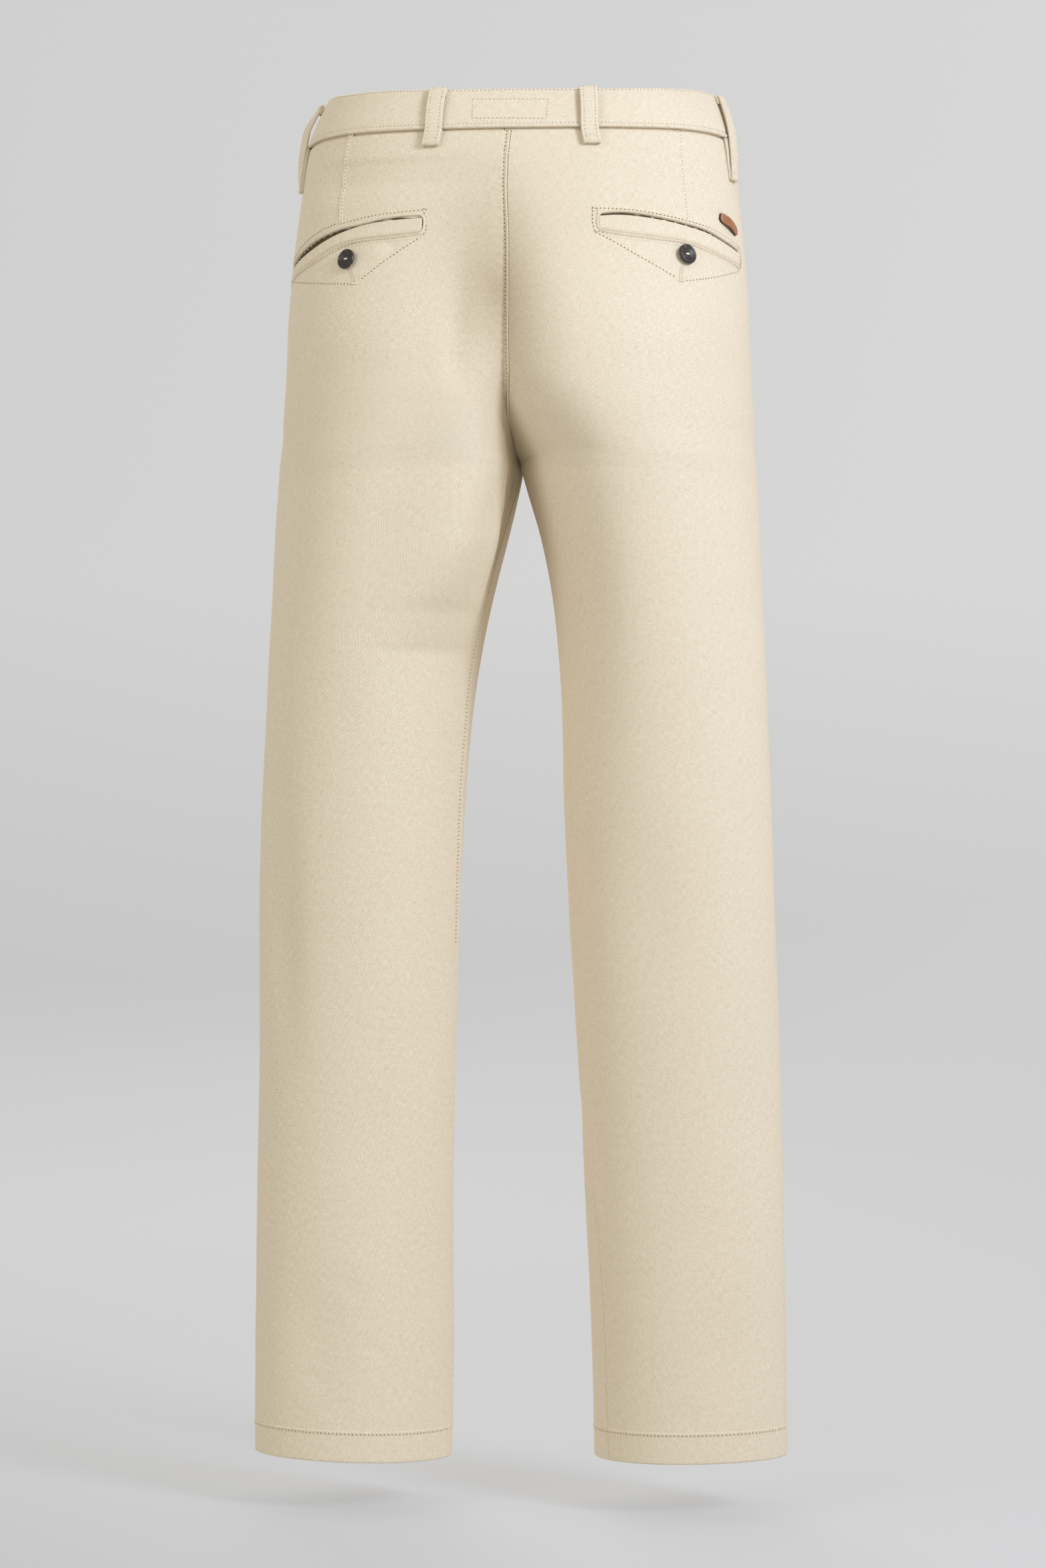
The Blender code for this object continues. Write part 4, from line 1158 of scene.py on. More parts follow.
# Drops of the inseam's stitching, and how far each of its rows lies from the seam
INSEAM_DROPS = (300, 340, 400, 470, 560, 650)
INSEAM_OFFSETS = (-2.4, -5.0)
for side in SIDES:
    inseam_threads = []
    nodes = [(float(back_seam(side, drop)), drop) for drop in INSEAM_DROPS]
    for offset in INSEAM_OFFSETS:
        sew(inseam_threads, side, nodes, lift=0.1, offset=offset, rounds=1)
    sewing_piece(f"stitches_inseam_{side}", inseam_threads)
    hem_threads = []
    turn_drop = LEG_LENGTH[side] - HEM_DEPTH - HEM_FOLD
    start = float(back_seam(side, turn_drop))
    hem_line = [(start + node * 360 / HEM_NODES, turn_drop) for node in range(HEM_NODES + 1)]
    strip(f"hem_ridge_{side}", side, trace(side, hem_line, rounds=0), HEM_RIDGE, HEM_RIDGE_WALL)
    sew(hem_threads, side, hem_line, lift=0.25, rounds=0, slant=0.8, thickness=0.95, hole_radius=0.36)
    sewing_piece(f"stitches_hem_{side}", hem_threads)

# Waistband ---------------------------------------------------------------------------------------
# One curved band of doubled twill, folded at the rim and topstitched along both edges. It laps over
# itself at the centre front. Below the lower stitching its edge rolls out like piping.
BAND_PROUD = 1.7
# Drop and lift round the band's cross-section, from its foot up the outer face and down the inner
BAND_PROFILE = (
    (42.1, 0.2), (42.5, 0.9), (42.3, 1.65), (41.6, 2.15), (40.7, 2.3), (39.8, 2.05), (39.0, 1.5),
    (38.4, 1.2), (37.7, 1.5), (36.4, 1.75), (32, 1.75), (26, 1.8), (20, 1.85), (14, 1.85), (8, 1.8),
    (4.4, 1.75), (3.1, 1.6), (2.3, 1.25), (1.6, 1.4), (0.8, 1.2), (0.2, 0.7), (0.0, 0.1), (0.2, -0.5),
    (0.9, -1.0), (2.2, -1.15), (5, -1.3), (14, -1.3), (26, -1.3), (37, -1.3), (41.6, -1.25), (42.1, -0.7),
)
# Degrees by which the band's ends pass the centre front
BAND_LEFT_END = 2.0
BAND_UNDERLAP = 13.0
BAND_WALL = 3.0
PIECE_GAP = 0.3
# Degrees before the full turn over which the underlap sinks behind the band's left end
SINK_FROM = 12.0
SINK_OVER = 8.5
BAND_SPACING = 2.9
# Drop and lift of the two rows of topstitching, and where they stop beside the lap
BAND_STITCHES = ((2.3, 1.35), (38.4, 1.3))
BAND_STITCH_START = 0.8 - BAND_LEFT_END
BAND_STITCH_END = 353
# The stitched rectangle, with nothing on it: turn and drop of a side's ends, and the radius of its holes'
# painted shadows
LABEL_STITCHES = (
    ((173.9, 12.4), (174.2, 33.0), 0.24),
    ((173.9, 12.4), (188.2, 13.2), 0.36),
    ((174.2, 33.0), (187.9, 34.2), 0.36),
    ((188.2, 13.2), (187.9, 34.2), 0.24),
)


def round_the_waist(turns, drops, lifts):
    """Points at turns from the centre front: over the left hip, the back, and on to the underlap."""
    turns, drops, lifts = np.broadcast_arrays(turns, drops, lifts)
    sink = (BAND_WALL + PIECE_GAP) * soft_step((SINK_FROM - (360 - turns)) / SINK_OVER)
    sink = np.where(turns > 180, sink, 0.0)
    points = np.zeros(turns.shape + (3,))
    facing = np.zeros(turns.shape + (3,))
    for side, mask, angle in (
        ("right", turns <= 0, 180 + turns),
        ("left", (turns > 0) & (turns <= 180), 180 - turns),
        ("right", (turns > 180) & (turns <= 360), turns - 180),
        ("left", turns > 360, 540 - turns),
    ):
        if mask.any():
            points[mask] = lay(side, angle[mask], drops[mask], (lifts - sink)[mask])
            facing[mask] = outward(side, angle[mask], drops[mask])
    return points, facing


def even_turns(first, last, step, drop=20.0):
    """Turns evenly spaced by length round the waist at a drop."""
    turns = np.linspace(first, last, 900)
    points, _ = round_the_waist(turns, drop, 0.0)
    lengths = lengths_along(points)
    return np.interp(np.linspace(0, lengths[-1], round(lengths[-1] / step)), lengths, turns)


band_turns = even_turns(-BAND_LEFT_END, 360 + BAND_UNDERLAP, BAND_SPACING)
band_drops, band_lifts = np.array(BAND_PROFILE).T
band_points, _ = round_the_waist(band_turns[:, None], band_drops[None, :], band_lifts[None, :])
band = tube_cloth("waistband_cloth", band_points)
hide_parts("waistband")
band_length = cut_size(band_points)[1]

band_threads = []
for drop, lift in BAND_STITCHES:
    turns = even_turns(BAND_STITCH_START, BAND_STITCH_END, 1.0, drop)
    sew_through(band_threads, *round_the_waist(turns, drop, lift))
for (first, upper), (last, lower), hole_radius in LABEL_STITCHES:
    share = np.linspace(0, 1, 60)
    turns = first + (last - first) * share
    drops = upper + (lower - upper) * share
    sew_through(
        band_threads, *round_the_waist(turns, drops, 1.95), thickness=0.6, hole_radius=hole_radius
    )
drops = np.linspace(BAND_STITCHES[0][0], BAND_STITCHES[1][0], 40)
sew_through(band_threads, *round_the_waist(BAND_STITCH_START, drops, 1.9))
sewing_piece("stitches_waistband", band_threads)

# Belt loops --------------------------------------------------------------------------------------
# Six loops, each a folded strip 13 mm wide with a line of stitching inside either edge. The top end
# is caught under the rim's stitching, and the foot is folded under and bar-tacked below the band.
LOOP_WIDTH = 13.0
LOOP_WALL = 1.9
# Share of the width where the stitching lies, and of the half thickness where the thread lies
LOOP_SEWING = 0.31
THREAD_SEAT = 0.86
# Places of the two rows of a bar tack, from the foot of the loop, and the share of the width they reach
BAR_TACKS = (-5.2, -4.5)
BAR_REACH = 0.36
# Angle and lean are in degrees, and start, hang, tilt and skew in millimetres
LOOP_NAMES = ("name", "side", "angle", "lean", "start", "hang", "swell", "tilt", "skew")
# Share of the way down a loop, and how far it stands off there
FLAT_LOOP = ((0.0, 0.0), (0.3, 0.9), (0.6, 0.9), (1.0, 0.0))
LEFT_SIDE_LOOP = (
    (0.0, 0.0), (0.07, 0.1), (0.18, 1.0), (0.29, 1.9), (0.4, 1.1), (0.5, 0.4), (0.68, 0.1), (0.85, -0.6),
    (1.0, -1.4),
)
RIGHT_SIDE_LOOP = ((0.0, 0.0), (0.2, 0.5), (0.45, 0.3), (0.7, -0.3), (1.0, -1.0))
LOOPS = (
    ("loop_back_left", "left", 14.8, 0.6, 1.6, 13, FLAT_LOOP, 0.0, 0.0),
    ("loop_back_right", "right", 18.5, 0.4, 1.6, 13, FLAT_LOOP, 0.0, 0.0),
    ("loop_side_left", "left", 80.0, 0.0, 6, 36.5, LEFT_SIDE_LOOP, 4.2, 3.6),
    ("loop_side_right", "right", 78.0, 0.0, 3, 34, RIGHT_SIDE_LOOP, 0.8, 3.8),
    ("loop_front_left", "left", 146.0, 0.0, 1.6, 13, FLAT_LOOP, 0.0, 0.0),
    ("loop_front_right", "right", 146.0, 0.0, 1.6, 13, FLAT_LOOP, 0.0, 0.0),
)
# Across a loop: share of its width, and thickness there as a share of the whole
LOOP_CROWN = (
    (-0.5, 0.25), (-0.487, 0.7), (-0.455, 0.98), (-0.4, 1.06), (-0.345, 0.95), (-0.31, 0.8), (-0.275, 0.95),
    (-0.15, 1.0), (0.0, 1.0), (0.15, 1.0), (0.275, 0.95), (0.31, 0.8), (0.345, 0.95), (0.4, 1.06),
    (0.455, 0.98), (0.487, 0.7), (0.5, 0.25),
)
LOOP_STEPS = 20
# Of the points of a loop's path: those that tilt, those that are sewn, and the first folded under
TILTED = slice(6, 26)
SEWN = slice(6, 27)
FOLDED_FROM = 29


def loop_path(loop):
    """Drop and lift, tilt, and sideways shift along a loop's middle, with its ends folded under."""
    start = loop["start"]
    seat = BAND_PROUD + PIECE_GAP + LOOP_WALL / 2
    layer = LOOP_WALL + 0.4
    foot = BAND_HEIGHT + loop["hang"]
    top = start + 1.0
    panel_seat = PIECE_GAP + LOOP_WALL / 2
    path = [(start + 8, seat), (start + 4, seat), (top + 1.0, seat), (top + 0.2, seat + layer * 0.2)]
    path += [(top, seat + layer / 2), (top + 0.2, seat + layer * 0.8), (top + 1.0, seat + layer)]
    lower_lift = panel_seat + layer
    shares, swells = zip(*loop["swell"])
    for step in range(1, LOOP_STEPS):
        part = step / LOOP_STEPS
        base = seat + layer + (lower_lift - seat - layer) * soft_step(part)
        path.append((top + 1.0 + (foot - top - 2.0) * part, float(base + np.interp(part, shares, swells))))
    end_lift = lower_lift + swells[-1]
    under = max(panel_seat + swells[-1], panel_seat - 0.6)
    path += [(foot - 0.8, end_lift), (foot - 0.1, under + layer * 0.8), (foot + 0.1, under + layer / 2)]
    path += [(foot - 0.1, under + layer * 0.2)]
    for part in np.linspace(0, 1, 5):
        path.append((foot - 0.8 + (BAND_HEIGHT + 2.0 - foot) * part, under + (panel_seat - under) * part))
    path = np.array(path)
    tilted = np.zeros(len(path))
    tilted[TILTED] = np.sin(np.pi * np.linspace(0, 1, LOOP_STEPS) ** 0.8) ** 0.7
    aside = np.zeros(len(path))
    aside[FOLDED_FROM:] = -loop["skew"] * np.linspace(0, 1, len(path) - FOLDED_FROM)
    return path, loop["tilt"] * tilted, aside


def across_loop(loop, drops, share):
    """Angle at a share of the loop's width from its middle line."""
    angle = loop["angle"] + loop["lean"] * (1 - drops / BAND_HEIGHT)
    degree = form(loop["side"], angle + 0.5, drops) - form(loop["side"], angle - 0.5, drops)
    return angle + share * LOOP_WIDTH / np.linalg.norm(degree, axis=-1)


for row in LOOPS:
    loop = dict(zip(LOOP_NAMES, row))
    side = loop["side"]
    path, tilts, asides = loop_path(loop)
    run = np.gradient(path, axis=0)
    run /= np.linalg.norm(run, axis=1, keepdims=True)
    sideways = np.stack((-run[:, 1], run[:, 0]), axis=1)
    rings = []
    for share, fullness in LOOP_CROWN:
        half = LOOP_WALL / 2 * fullness
        middle_line = path + np.stack((np.zeros(len(path)), tilts * share), axis=1)
        outline = np.concatenate((middle_line + sideways * half, (middle_line - sideways * half)[::-1]))
        drops = np.maximum(outline[:, 0], 0)
        place = share + np.concatenate((asides, asides[::-1])) / LOOP_WIDTH
        rings.append(lay(side, across_loop(loop, drops, place), drops, outline[:, 1]))
    rings = np.array(rings)
    piece = tube_cloth(loop["name"] + "_cloth", rings)
    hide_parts(loop["name"])
    length = cut_size(rings)[0] / 2
    loop_threads = []
    sewn = path[SEWN]
    places = np.linspace(0, len(sewn) - 1, 90)
    drops = np.interp(places, np.arange(len(sewn)), sewn[:, 0])
    lifts = np.interp(places, np.arange(len(sewn)), sewn[:, 1]) + LOOP_WALL / 2 * THREAD_SEAT
    tilt = np.interp(places, np.arange(len(sewn)), tilts[SEWN])
    for share in (-LOOP_SEWING, LOOP_SEWING):
        angles = across_loop(loop, drops, share)
        points = lay(side, angles, drops, lifts + tilt * share)
        sew_through(loop_threads, points, outward(side, angles, drops), slant=0.15)
    foot = BAND_HEIGHT + loop["hang"]
    for along in BAR_TACKS:
        shares = np.linspace(-BAR_REACH, BAR_REACH, 14)
        bar_drop = np.full(len(shares), foot + along)
        bar_lift = np.interp(bar_drop, drops, lifts) + 0.15
        angles = across_loop(loop, bar_drop, shares)
        points = lay(side, angles, bar_drop, bar_lift)
        for start, end, normal in zip(points[:-1], points[1:], outward(side, angles, bar_drop)):
            add_stitch(loop_threads, start, end, normal, BAR_THICKNESS)
    sewing_piece("stitches_" + loop["name"], loop_threads)

# Hand pockets and fly ----------------------------------------------------------------------------
# The slanting pocket mouths are topstitched, with the side piece showing behind. At the centre front
# the left front laps over a shield, and a curved line of stitching holds the fly's facing.

# A side piece starts inside the band and ends below the mouth. It runs from just behind the outseam
# to some degrees under the front, where it lies deepest.
POCKET_SIDE_TOP = 36
POCKET_SIDE_MARGIN = 8
POCKET_SIDE_EDGE = OUTSEAM_ANGLE - 0.6
POCKET_SIDE_UNDER = 7.0
POCKET_SIDE_SINK = 1.9
DITCH_END = 46
MOUTH_STITCH_DROPS = (44, 80, 120, 160, 196)
MOUTH_STITCH_OFFSET = -6.0
MOUTH_BAR_DROPS = (52.0, 197.0)
for side in SIDES:
    drops = np.linspace(POCKET_SIDE_TOP, HAND_POCKET_DROP + POCKET_SIDE_MARGIN, 60)[:, None]
    mouth = hand_pocket_angle(side, drops)
    share = np.linspace(0, 1, 24)[None, :]
    angles = POCKET_SIDE_EDGE + (mouth + POCKET_SIDE_UNDER - POCKET_SIDE_EDGE) * share
    inward = (angles - OUTSEAM_ANGLE) / np.maximum(mouth - 0.5 - OUTSEAM_ANGLE, 0.8)
    sink = 0.35 + POCKET_SIDE_SINK * soft_step(inward)
    drops = np.broadcast_to(drops, angles.shape)
    ditch = np.interp(drops, [drop for drop, _ in DITCH_ROWS], [lift for _, lift in DITCH_ROWS])
    ditch = ditch * (1 - soft_step((angles - OUTSEAM_ANGLE) / 1.5))
    points = lay(side, angles, drops, np.where(drops < DITCH_END, ditch, 0) - sink)
    piece = cloth(f"pocket_side_{side}_cloth", points, outward(side, angles, drops))
    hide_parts("pocket_side_" + side)
    width, length, area = cut_size(points)
    mouth_threads = []
    line = [(float(hand_pocket_angle(side, drop)), drop) for drop in MOUTH_STITCH_DROPS]
    sew(mouth_threads, side, line, lift=0.12, offset=MOUTH_STITCH_OFFSET, rounds=0)
    (top_angle, _), (foot_angle, _) = line[0], line[-1]
    top_drop, foot_drop = MOUTH_BAR_DROPS
    foot_bar = [(foot_angle - 1.0, foot_drop), (foot_angle + 5.0, foot_drop)]
    top_bar = [(top_angle + 0.5, top_drop), (top_angle + 5.5, top_drop)]
    for bar in (foot_bar, top_bar):
        satin(mouth_threads, side, bar, width=1.2, pitch=0.7)
    sewing_piece(f"stitches_hand_pocket_{side}", mouth_threads)

# The shield's sides as turns from the centre front, its ends as drops, and its lift
SHIELD_TURNS = (-4.0, 13.0)
SHIELD_DROPS = (36, 198)
SHIELD_LIFT = -2.4
shield_turns = np.linspace(*SHIELD_TURNS, 20)
shield_drops = np.linspace(*SHIELD_DROPS, 60)[:, None]
shield_halves = []
for side, turns in (("left", shield_turns[shield_turns < 0]), ("right", shield_turns[shield_turns >= 0])):
    angles = 180 - np.abs(turns)[None, :] + np.zeros(shield_drops.shape)
    drops = shield_drops + np.zeros(angles.shape)
    shield_halves.append((lay(side, angles, drops, SHIELD_LIFT), outward(side, angles, drops)))
shield_points, shield_facing = (np.concatenate(halves, axis=1) for halves in zip(*shield_halves))
shield = cloth("fly_shield_cloth", shield_points, shield_facing)
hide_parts("fly_shield")
width, length, area = cut_size(shield_points)

# The fly's stitching: drop, and distance from the middle of the front
FLY_STITCHES = ((43, 36), (70, 36), (110, 36), (138, 35), (156, 31), (170, 24), (181, 14), (188, 2))
fly_threads = []
fly_nodes = []
for drop, distance in FLY_STITCHES:
    per_degree = float(np.linalg.norm(form("left", 176.0, drop) - form("left", 175.0, drop)))
    fly_nodes.append((180 - distance / per_degree, drop))
sew(fly_threads, "left", fly_nodes, lift=0.12)
sewing_piece("stitches_fly", fly_threads)

# Back pockets ------------------------------------------------------------------------------------
# Each is a window cut in the back, its edge turned and stitched, with a welt 11 mm deep closing it
# from below. Pocketing shows in the slit, sunk a little below it and painted dark for the shade there. A V
# of stitching holds the facing inside.

# Lines of angle and drop: of the window's edge, of the welt, of the stitching and of the buttonhole
POCKETS = {
    "left": {
        "slit": (
            (76.0, 138.0), (68.9, 133.9), (57.8, 126.6), (48.7, 121.3), (39.4, 116.9), (29.8, 114.9),
            (22.6, 111.8), (16.0, 110.5), (11.5, 110.2),
        ),
        "inner": ((8.9, 110.6), (7.2, 122.8)),
        "piping": (
            (9.5, 123.8), (13.8, 124.7), (23.0, 125.8), (29.6, 126.5), (34.1, 127.3), (40.0, 130.0),
            (44.3, 133.3), (50.9, 138.1), (58.4, 142.2), (71.0, 147.0), (77.0, 150.5),
        ),
        "welt_top": (
            (9.1, 112.1), (15.7, 112.5), (22.4, 113.3), (29.7, 115.4), (35.1, 118.1), (41.1, 121.2),
            (48.1, 126.0), (57.0, 131.9), (67.9, 137.6), (76.0, 142.0),
        ),
        "above": (
            ((9.0, 106.1), (16.6, 107.0), (25.6, 108.4), (36.0, 112.0), (40.7, 112.7)),
            ((42.4, 112.9), (49.6, 116.1), (57.6, 121.1), (68.4, 128.9), (76.0, 133.0)),
        ),
        "below": (
            (6.7, 124.2), (13.5, 126.2), (22.8, 127.3), (30.8, 128.3), (38.0, 132.3), (46.5, 138.5),
            (55.3, 143.4), (70.3, 149.0), (77.0, 153.0),
        ),
        "inner_stitches": (((9.7, 105.6), (8.0, 114.2), (5.8, 124.3)),),
        "v": ((6.6, 125.2), (12.4, 135.4), (17.2, 143.6), (21.5, 150.8), (25.8, 157.9)),
        "base": ((29.1, 159.7), (36.8, 158.4), (48.6, 156.3), (69.2, 151.5), (77.0, 150.0)),
        "buttonhole": ((31.0, 146.0), (28.6, 155.0), (27.4, 159.7)),
    },
    "right": {
        "slit": (
            (77.5, 131.5), (70.0, 128.5), (61.9, 124.9), (53.8, 119.8), (44.5, 116.6), (36.3, 113.6),
            (26.8, 110.4), (20.3, 109.3), (16.0, 110.2),
        ),
        "inner": ((13.2, 111.0), (11.8, 121.5)),
        "piping": (
            (13.5, 123.6), (18.3, 125.4), (24.9, 127.1), (34.8, 128.8), (45.1, 130.6), (55.5, 136.1),
            (66.0, 140.0), (77.6, 143.2),
        ),
        "welt_top": (
            (12.8, 112.5), (19.6, 111.3), (26.2, 112.3), (36.0, 115.0), (44.2, 118.2), (53.5, 121.6),
            (61.7, 126.4), (70.0, 130.2), (77.5, 133.1),
        ),
        "above": (
            (
                (12.1, 107.0), (18.5, 106.8), (27.1, 108.4), (36.6, 111.1), (44.7, 114.1), (54.4, 117.1),
                (64.5, 122.3), (79.0, 128.8),
            ),
        ),
        "below": (
            (10.4, 124.0), (18.1, 126.9), (24.8, 128.6), (34.7, 130.3), (45.0, 132.1), (55.3, 137.6),
            (77.4, 145.2),
        ),
        "inner_stitches": (
            ((12.4, 106.5), (10.7, 116.0), (10.3, 123.5)),
            ((13.4, 108.5), (12.1, 116.0), (11.6, 122.5)),
            ((78.9, 129.3), (79.6, 137.2), (78.3, 145.5)),
        ),
        "v": ((10.7, 125.1), (17.4, 134.5), (23.7, 143.4), (30.7, 151.4), (37.1, 158.3)),
        "base": ((41.4, 159.8), (51.5, 156.8), (61.9, 152.5), (76.4, 146.0)),
        "buttonhole": ((40.3, 146.5), (39.0, 154.6), (38.8, 160.2)),
    },
}
# Distance from the window's edge and lift
BORDER_PROFILE = (
    (-0.5, -1.3), (-0.3, -0.3), (0.0, 0.6), (0.4, 1.15), (0.95, 1.2), (1.4, 0.75), (1.8, 0.1), (2.2, -0.1),
    (2.7, 0.1), (3.6, 0.22), (5.4, -0.3),
)
BORDER_WALL = 0.4
BORDER_FADE = 4.0
# Down a welt: distance from its top edge and lift
WELT_PROFILE = (
    (0.0, -1.4), (0.0, -0.2), (0.35, 0.35), (1.0, 0.5), (2.4, 0.3), (5.0, 0.15), (8.0, 0.15), (9.7, 0.05),
    (10.2, -0.8), (10.7, -1.3), (11.0, -1.3),
)
WELT_DEPTH = 11.0
WELT_WALL = 0.5
# The top of a welt is laid out in millimetres, and from here down as a share of its depth
WELT_SHARES_FROM = 3
POCKETING_THREAD = 1.11
POCKETING_SHOWS = 5.5
POCKETING_LIFT = -1.6
POCKETING_WALL = 0.3


def pocketing():
    """Cotton pocketing, dull, brown-grey and plain woven, painted dark for the deep shade of the slit it
    lies in.
    """
    material, tree, shader = new_material(
        "cotton pocketing in shade", Roughness=1.0, Specular_IOR_Level=0.05
    )
    mottle(tree, shader, POCKETING_THREAD, "#4a3d2a", "#6a5a42")
    return material


POCKETING_PAINTED_DARK = pocketing()

for side, pocket in POCKETS.items():
    window = pocket["slit"] + pocket["inner"] + pocket["piping"]
    border_line = trace(side, window, step=1.6)
    strip(f"pocket_border_{side}", side, border_line, BORDER_PROFILE, BORDER_WALL, BORDER_FADE)
    top_angles, top_drops = trace(side, pocket["welt_top"])
    inner_angle, inner_drop = pocket["inner"][1]
    foot_angles, foot_drops = trace(side, ((inner_angle, inner_drop + 0.6),) + pocket["piping"])
    spots = np.linspace(0, 1, len(top_angles))
    foot_spots = np.linspace(0, 1, len(foot_angles))
    across = np.interp(spots, foot_spots, foot_angles) - top_angles
    deep = np.interp(spots, foot_spots, foot_drops) - top_drops
    welt_angles, welt_drops, welt_lifts = [], [], []
    for away, lift in WELT_PROFILE:
        share = np.clip(away / WELT_DEPTH, 0, 1) if away > WELT_SHARES_FROM else away / deep
        welt_angles.append(top_angles + across * share)
        welt_drops.append(top_drops + deep * share)
        welt_lifts.append(np.full(len(spots), lift))
    welt_angles, welt_drops = np.array(welt_angles), np.array(welt_drops)
    points = lay(side, welt_angles, welt_drops, np.array(welt_lifts))
    welt = cloth(f"welt_{side}_cloth", points, outward(side, welt_angles, welt_drops), WELT_WALL)
    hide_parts("welt_" + side)
    cut_size(points)[:2]
    mouth = as_columns(MOUTH_NAMES, MOUTHS[side])
    slit_angles = np.linspace(mouth["at"][0] + 0.5, mouth["at"][-1] - 0.3, 60)
    upper = np.interp(slit_angles, mouth["at"], mouth["upper"])
    slit_drops = upper - 0.2 + POCKETING_SHOWS * np.linspace(0, 1, 6)[:, None]
    slit_angles = np.broadcast_to(slit_angles, slit_drops.shape)
    points = lay(side, slit_angles, slit_drops, POCKETING_LIFT)
    facing = outward(side, slit_angles, slit_drops)
    # The pocketing's darkness is painted shade; it also lies sunk below the slit
    cloth(f"pocketing_{side}", points, facing, POCKETING_WALL, slot=None, finish=POCKETING_PAINTED_DARK)
    pocket_threads = []
    for nodes in pocket["above"] + pocket["inner_stitches"] + (pocket["below"],):
        sew(pocket_threads, side, nodes, lift=0.22)
    sew(pocket_threads, side, pocket["v"], slant=0.7)
    sew(pocket_threads, side, pocket["base"], slant=0.5)
    for offset in (-1.0, 1.0):
        satin(pocket_threads, side, pocket["buttonhole"], width=1.2, pitch=0.8, offset=offset)
    last_angle, last_drop = pocket["buttonhole"][-1]
    bar = [(last_angle - 1.3, last_drop), (last_angle + 1.3, last_drop)]
    satin(pocket_threads, side, bar, width=1.8, pitch=0.55, lift=0.5)
    sewing_piece(f"stitches_back_pocket_{side}", pocket_threads)

# Darts -------------------------------------------------------------------------------------------
# From the band to each back pocket the back is taken in. On the left the fold stands up with a line
# of stitching beside it; on the right it lies flatter. Each has its line, and how full its fold is.
DARTS = {
    "left": (
        (
            (44.1, 39.6), (44.4, 45.0), (44.3, 53.0), (44.0, 62.8), (45.2, 69.5), (45.8, 76.0), (45.2, 83.0),
            (44.2, 89.8), (41.2, 102.0), (40.0, 113.4),
        ),
        1.0,
    ),
    "right": (((48.5, 44.0), (47.1, 66.8), (46.2, 93.3), (44.9, 115.1)), 0.35),
}
# Distance across a dart's fold and lift
DART_PROFILE = (
    (-0.25, -0.6), (-0.1, 0.1), (0.15, 0.6), (0.6, 0.75), (1.1, 0.5), (1.6, 0.25), (2.4, 0.15), (4.5, -0.3),
)
DART_WALL = 0.4
# How far the stitches lie from the fold
DART_STITCHES = {"left": 1.6, "right": 0.0}
for side, (nodes, fullness) in DARTS.items():
    profile = [(across, lift * fullness if lift > 0 else lift) for across, lift in DART_PROFILE]
    strip(f"dart_{side}", side, trace(side, nodes, step=2.5), profile, DART_WALL)
    dart_threads = []
    sew(dart_threads, side, nodes, lift=0.35 * fullness, offset=DART_STITCHES[side], thickness=0.45)
    sewing_piece(f"stitches_dart_{side}", dart_threads)

# Buttons -----------------------------------------------------------------------------------------
# Two-hole buttons, 15 mm, turned from dark horn with a raised rim and a dished middle, polished, with
# tan mottling. A bar of cream thread holds each, and covers its holes.
BUTTON_RADIUS = 7.6
BUTTON_HALF = 1.5
# Shares of the radius and of half the thickness, from the middle of the underside to that of the top
BUTTON_PROFILE = (
    (0.0, -1.0), (0.62, -1.0), (0.86, -0.7), (0.97, -0.25), (1.0, 0.1), (0.995, 0.5), (0.965, 0.85),
    (0.92, 1.0), (0.86, 1.0), (0.8, 0.86), (0.75, 0.66), (0.7, 0.62), (0.66, 0.7), (0.62, 0.72), (0.57, 0.6),
    (0.5, 0.42), (0.3, 0.34), (0.0, 0.32),
)
BUTTON_STEPS = 56
BUTTON_CREASE = math.radians(50)
BUTTON_HOLE_SPACING = 3.8
# Sideways places of the three threads of a bar, their height over the middle, and their thickness
BAR_LANES = (-0.35, 0.0, 0.35)
BAR_HEIGHT = 0.75
BAR_THREAD = 0.75
# Angle, tilt and turn are in degrees, and drop and seat, the gap under the button, in millimetres
BUTTON_NAMES = ("name", "side", "angle", "drop", "seat", "tilt", "turn")
BUTTONS = (
    ("button_back_left", "left", 32.3, 141.2, 0.9, -7, 90),
    ("button_back_right", "right", 41.9, 140.5, 0.9, 6, 90),
    ("button_waist", "left", 174.0, 21.0, 2.4, 0, 0),
)
HORN_STREAK = 4.76
HORN_SCRATCH = 0.667
SCRATCH_DEPTH = 0.0001


def polished_horn():
    """Polished buffalo horn: near black, with streaks of tan that gather at the rim."""
    material, tree, shader = new_material(
        "polished dark horn", Roughness=0.42, Coat_Weight=0.12, Coat_Roughness=0.25
    )
    place, tone = mottle(
        tree, shader, HORN_STREAK, "#221d1a", "#8a6a41", detail=4.0, distortion=1.2
    )
    tone.color_ramp.elements[0].position = 0.52
    tone.color_ramp.elements[1].position = 0.72
    middle = tone.color_ramp.elements.new(0.6)
    middle.color = to_linear("#33291f")
    scratches = add_node(
        tree, "ShaderNodeTexNoise", Vector=place.outputs["Object"], Scale=1000 / HORN_SCRATCH, Detail=2.0
    )
    bump = add_node(
        tree, "ShaderNodeBump", Strength=0.1, Distance=SCRATCH_DEPTH, Height=scratches.outputs["Fac"]
    )
    tree.links.new(bump.outputs["Normal"], shader.inputs["Normal"])
    return material


HORN = polished_horn()

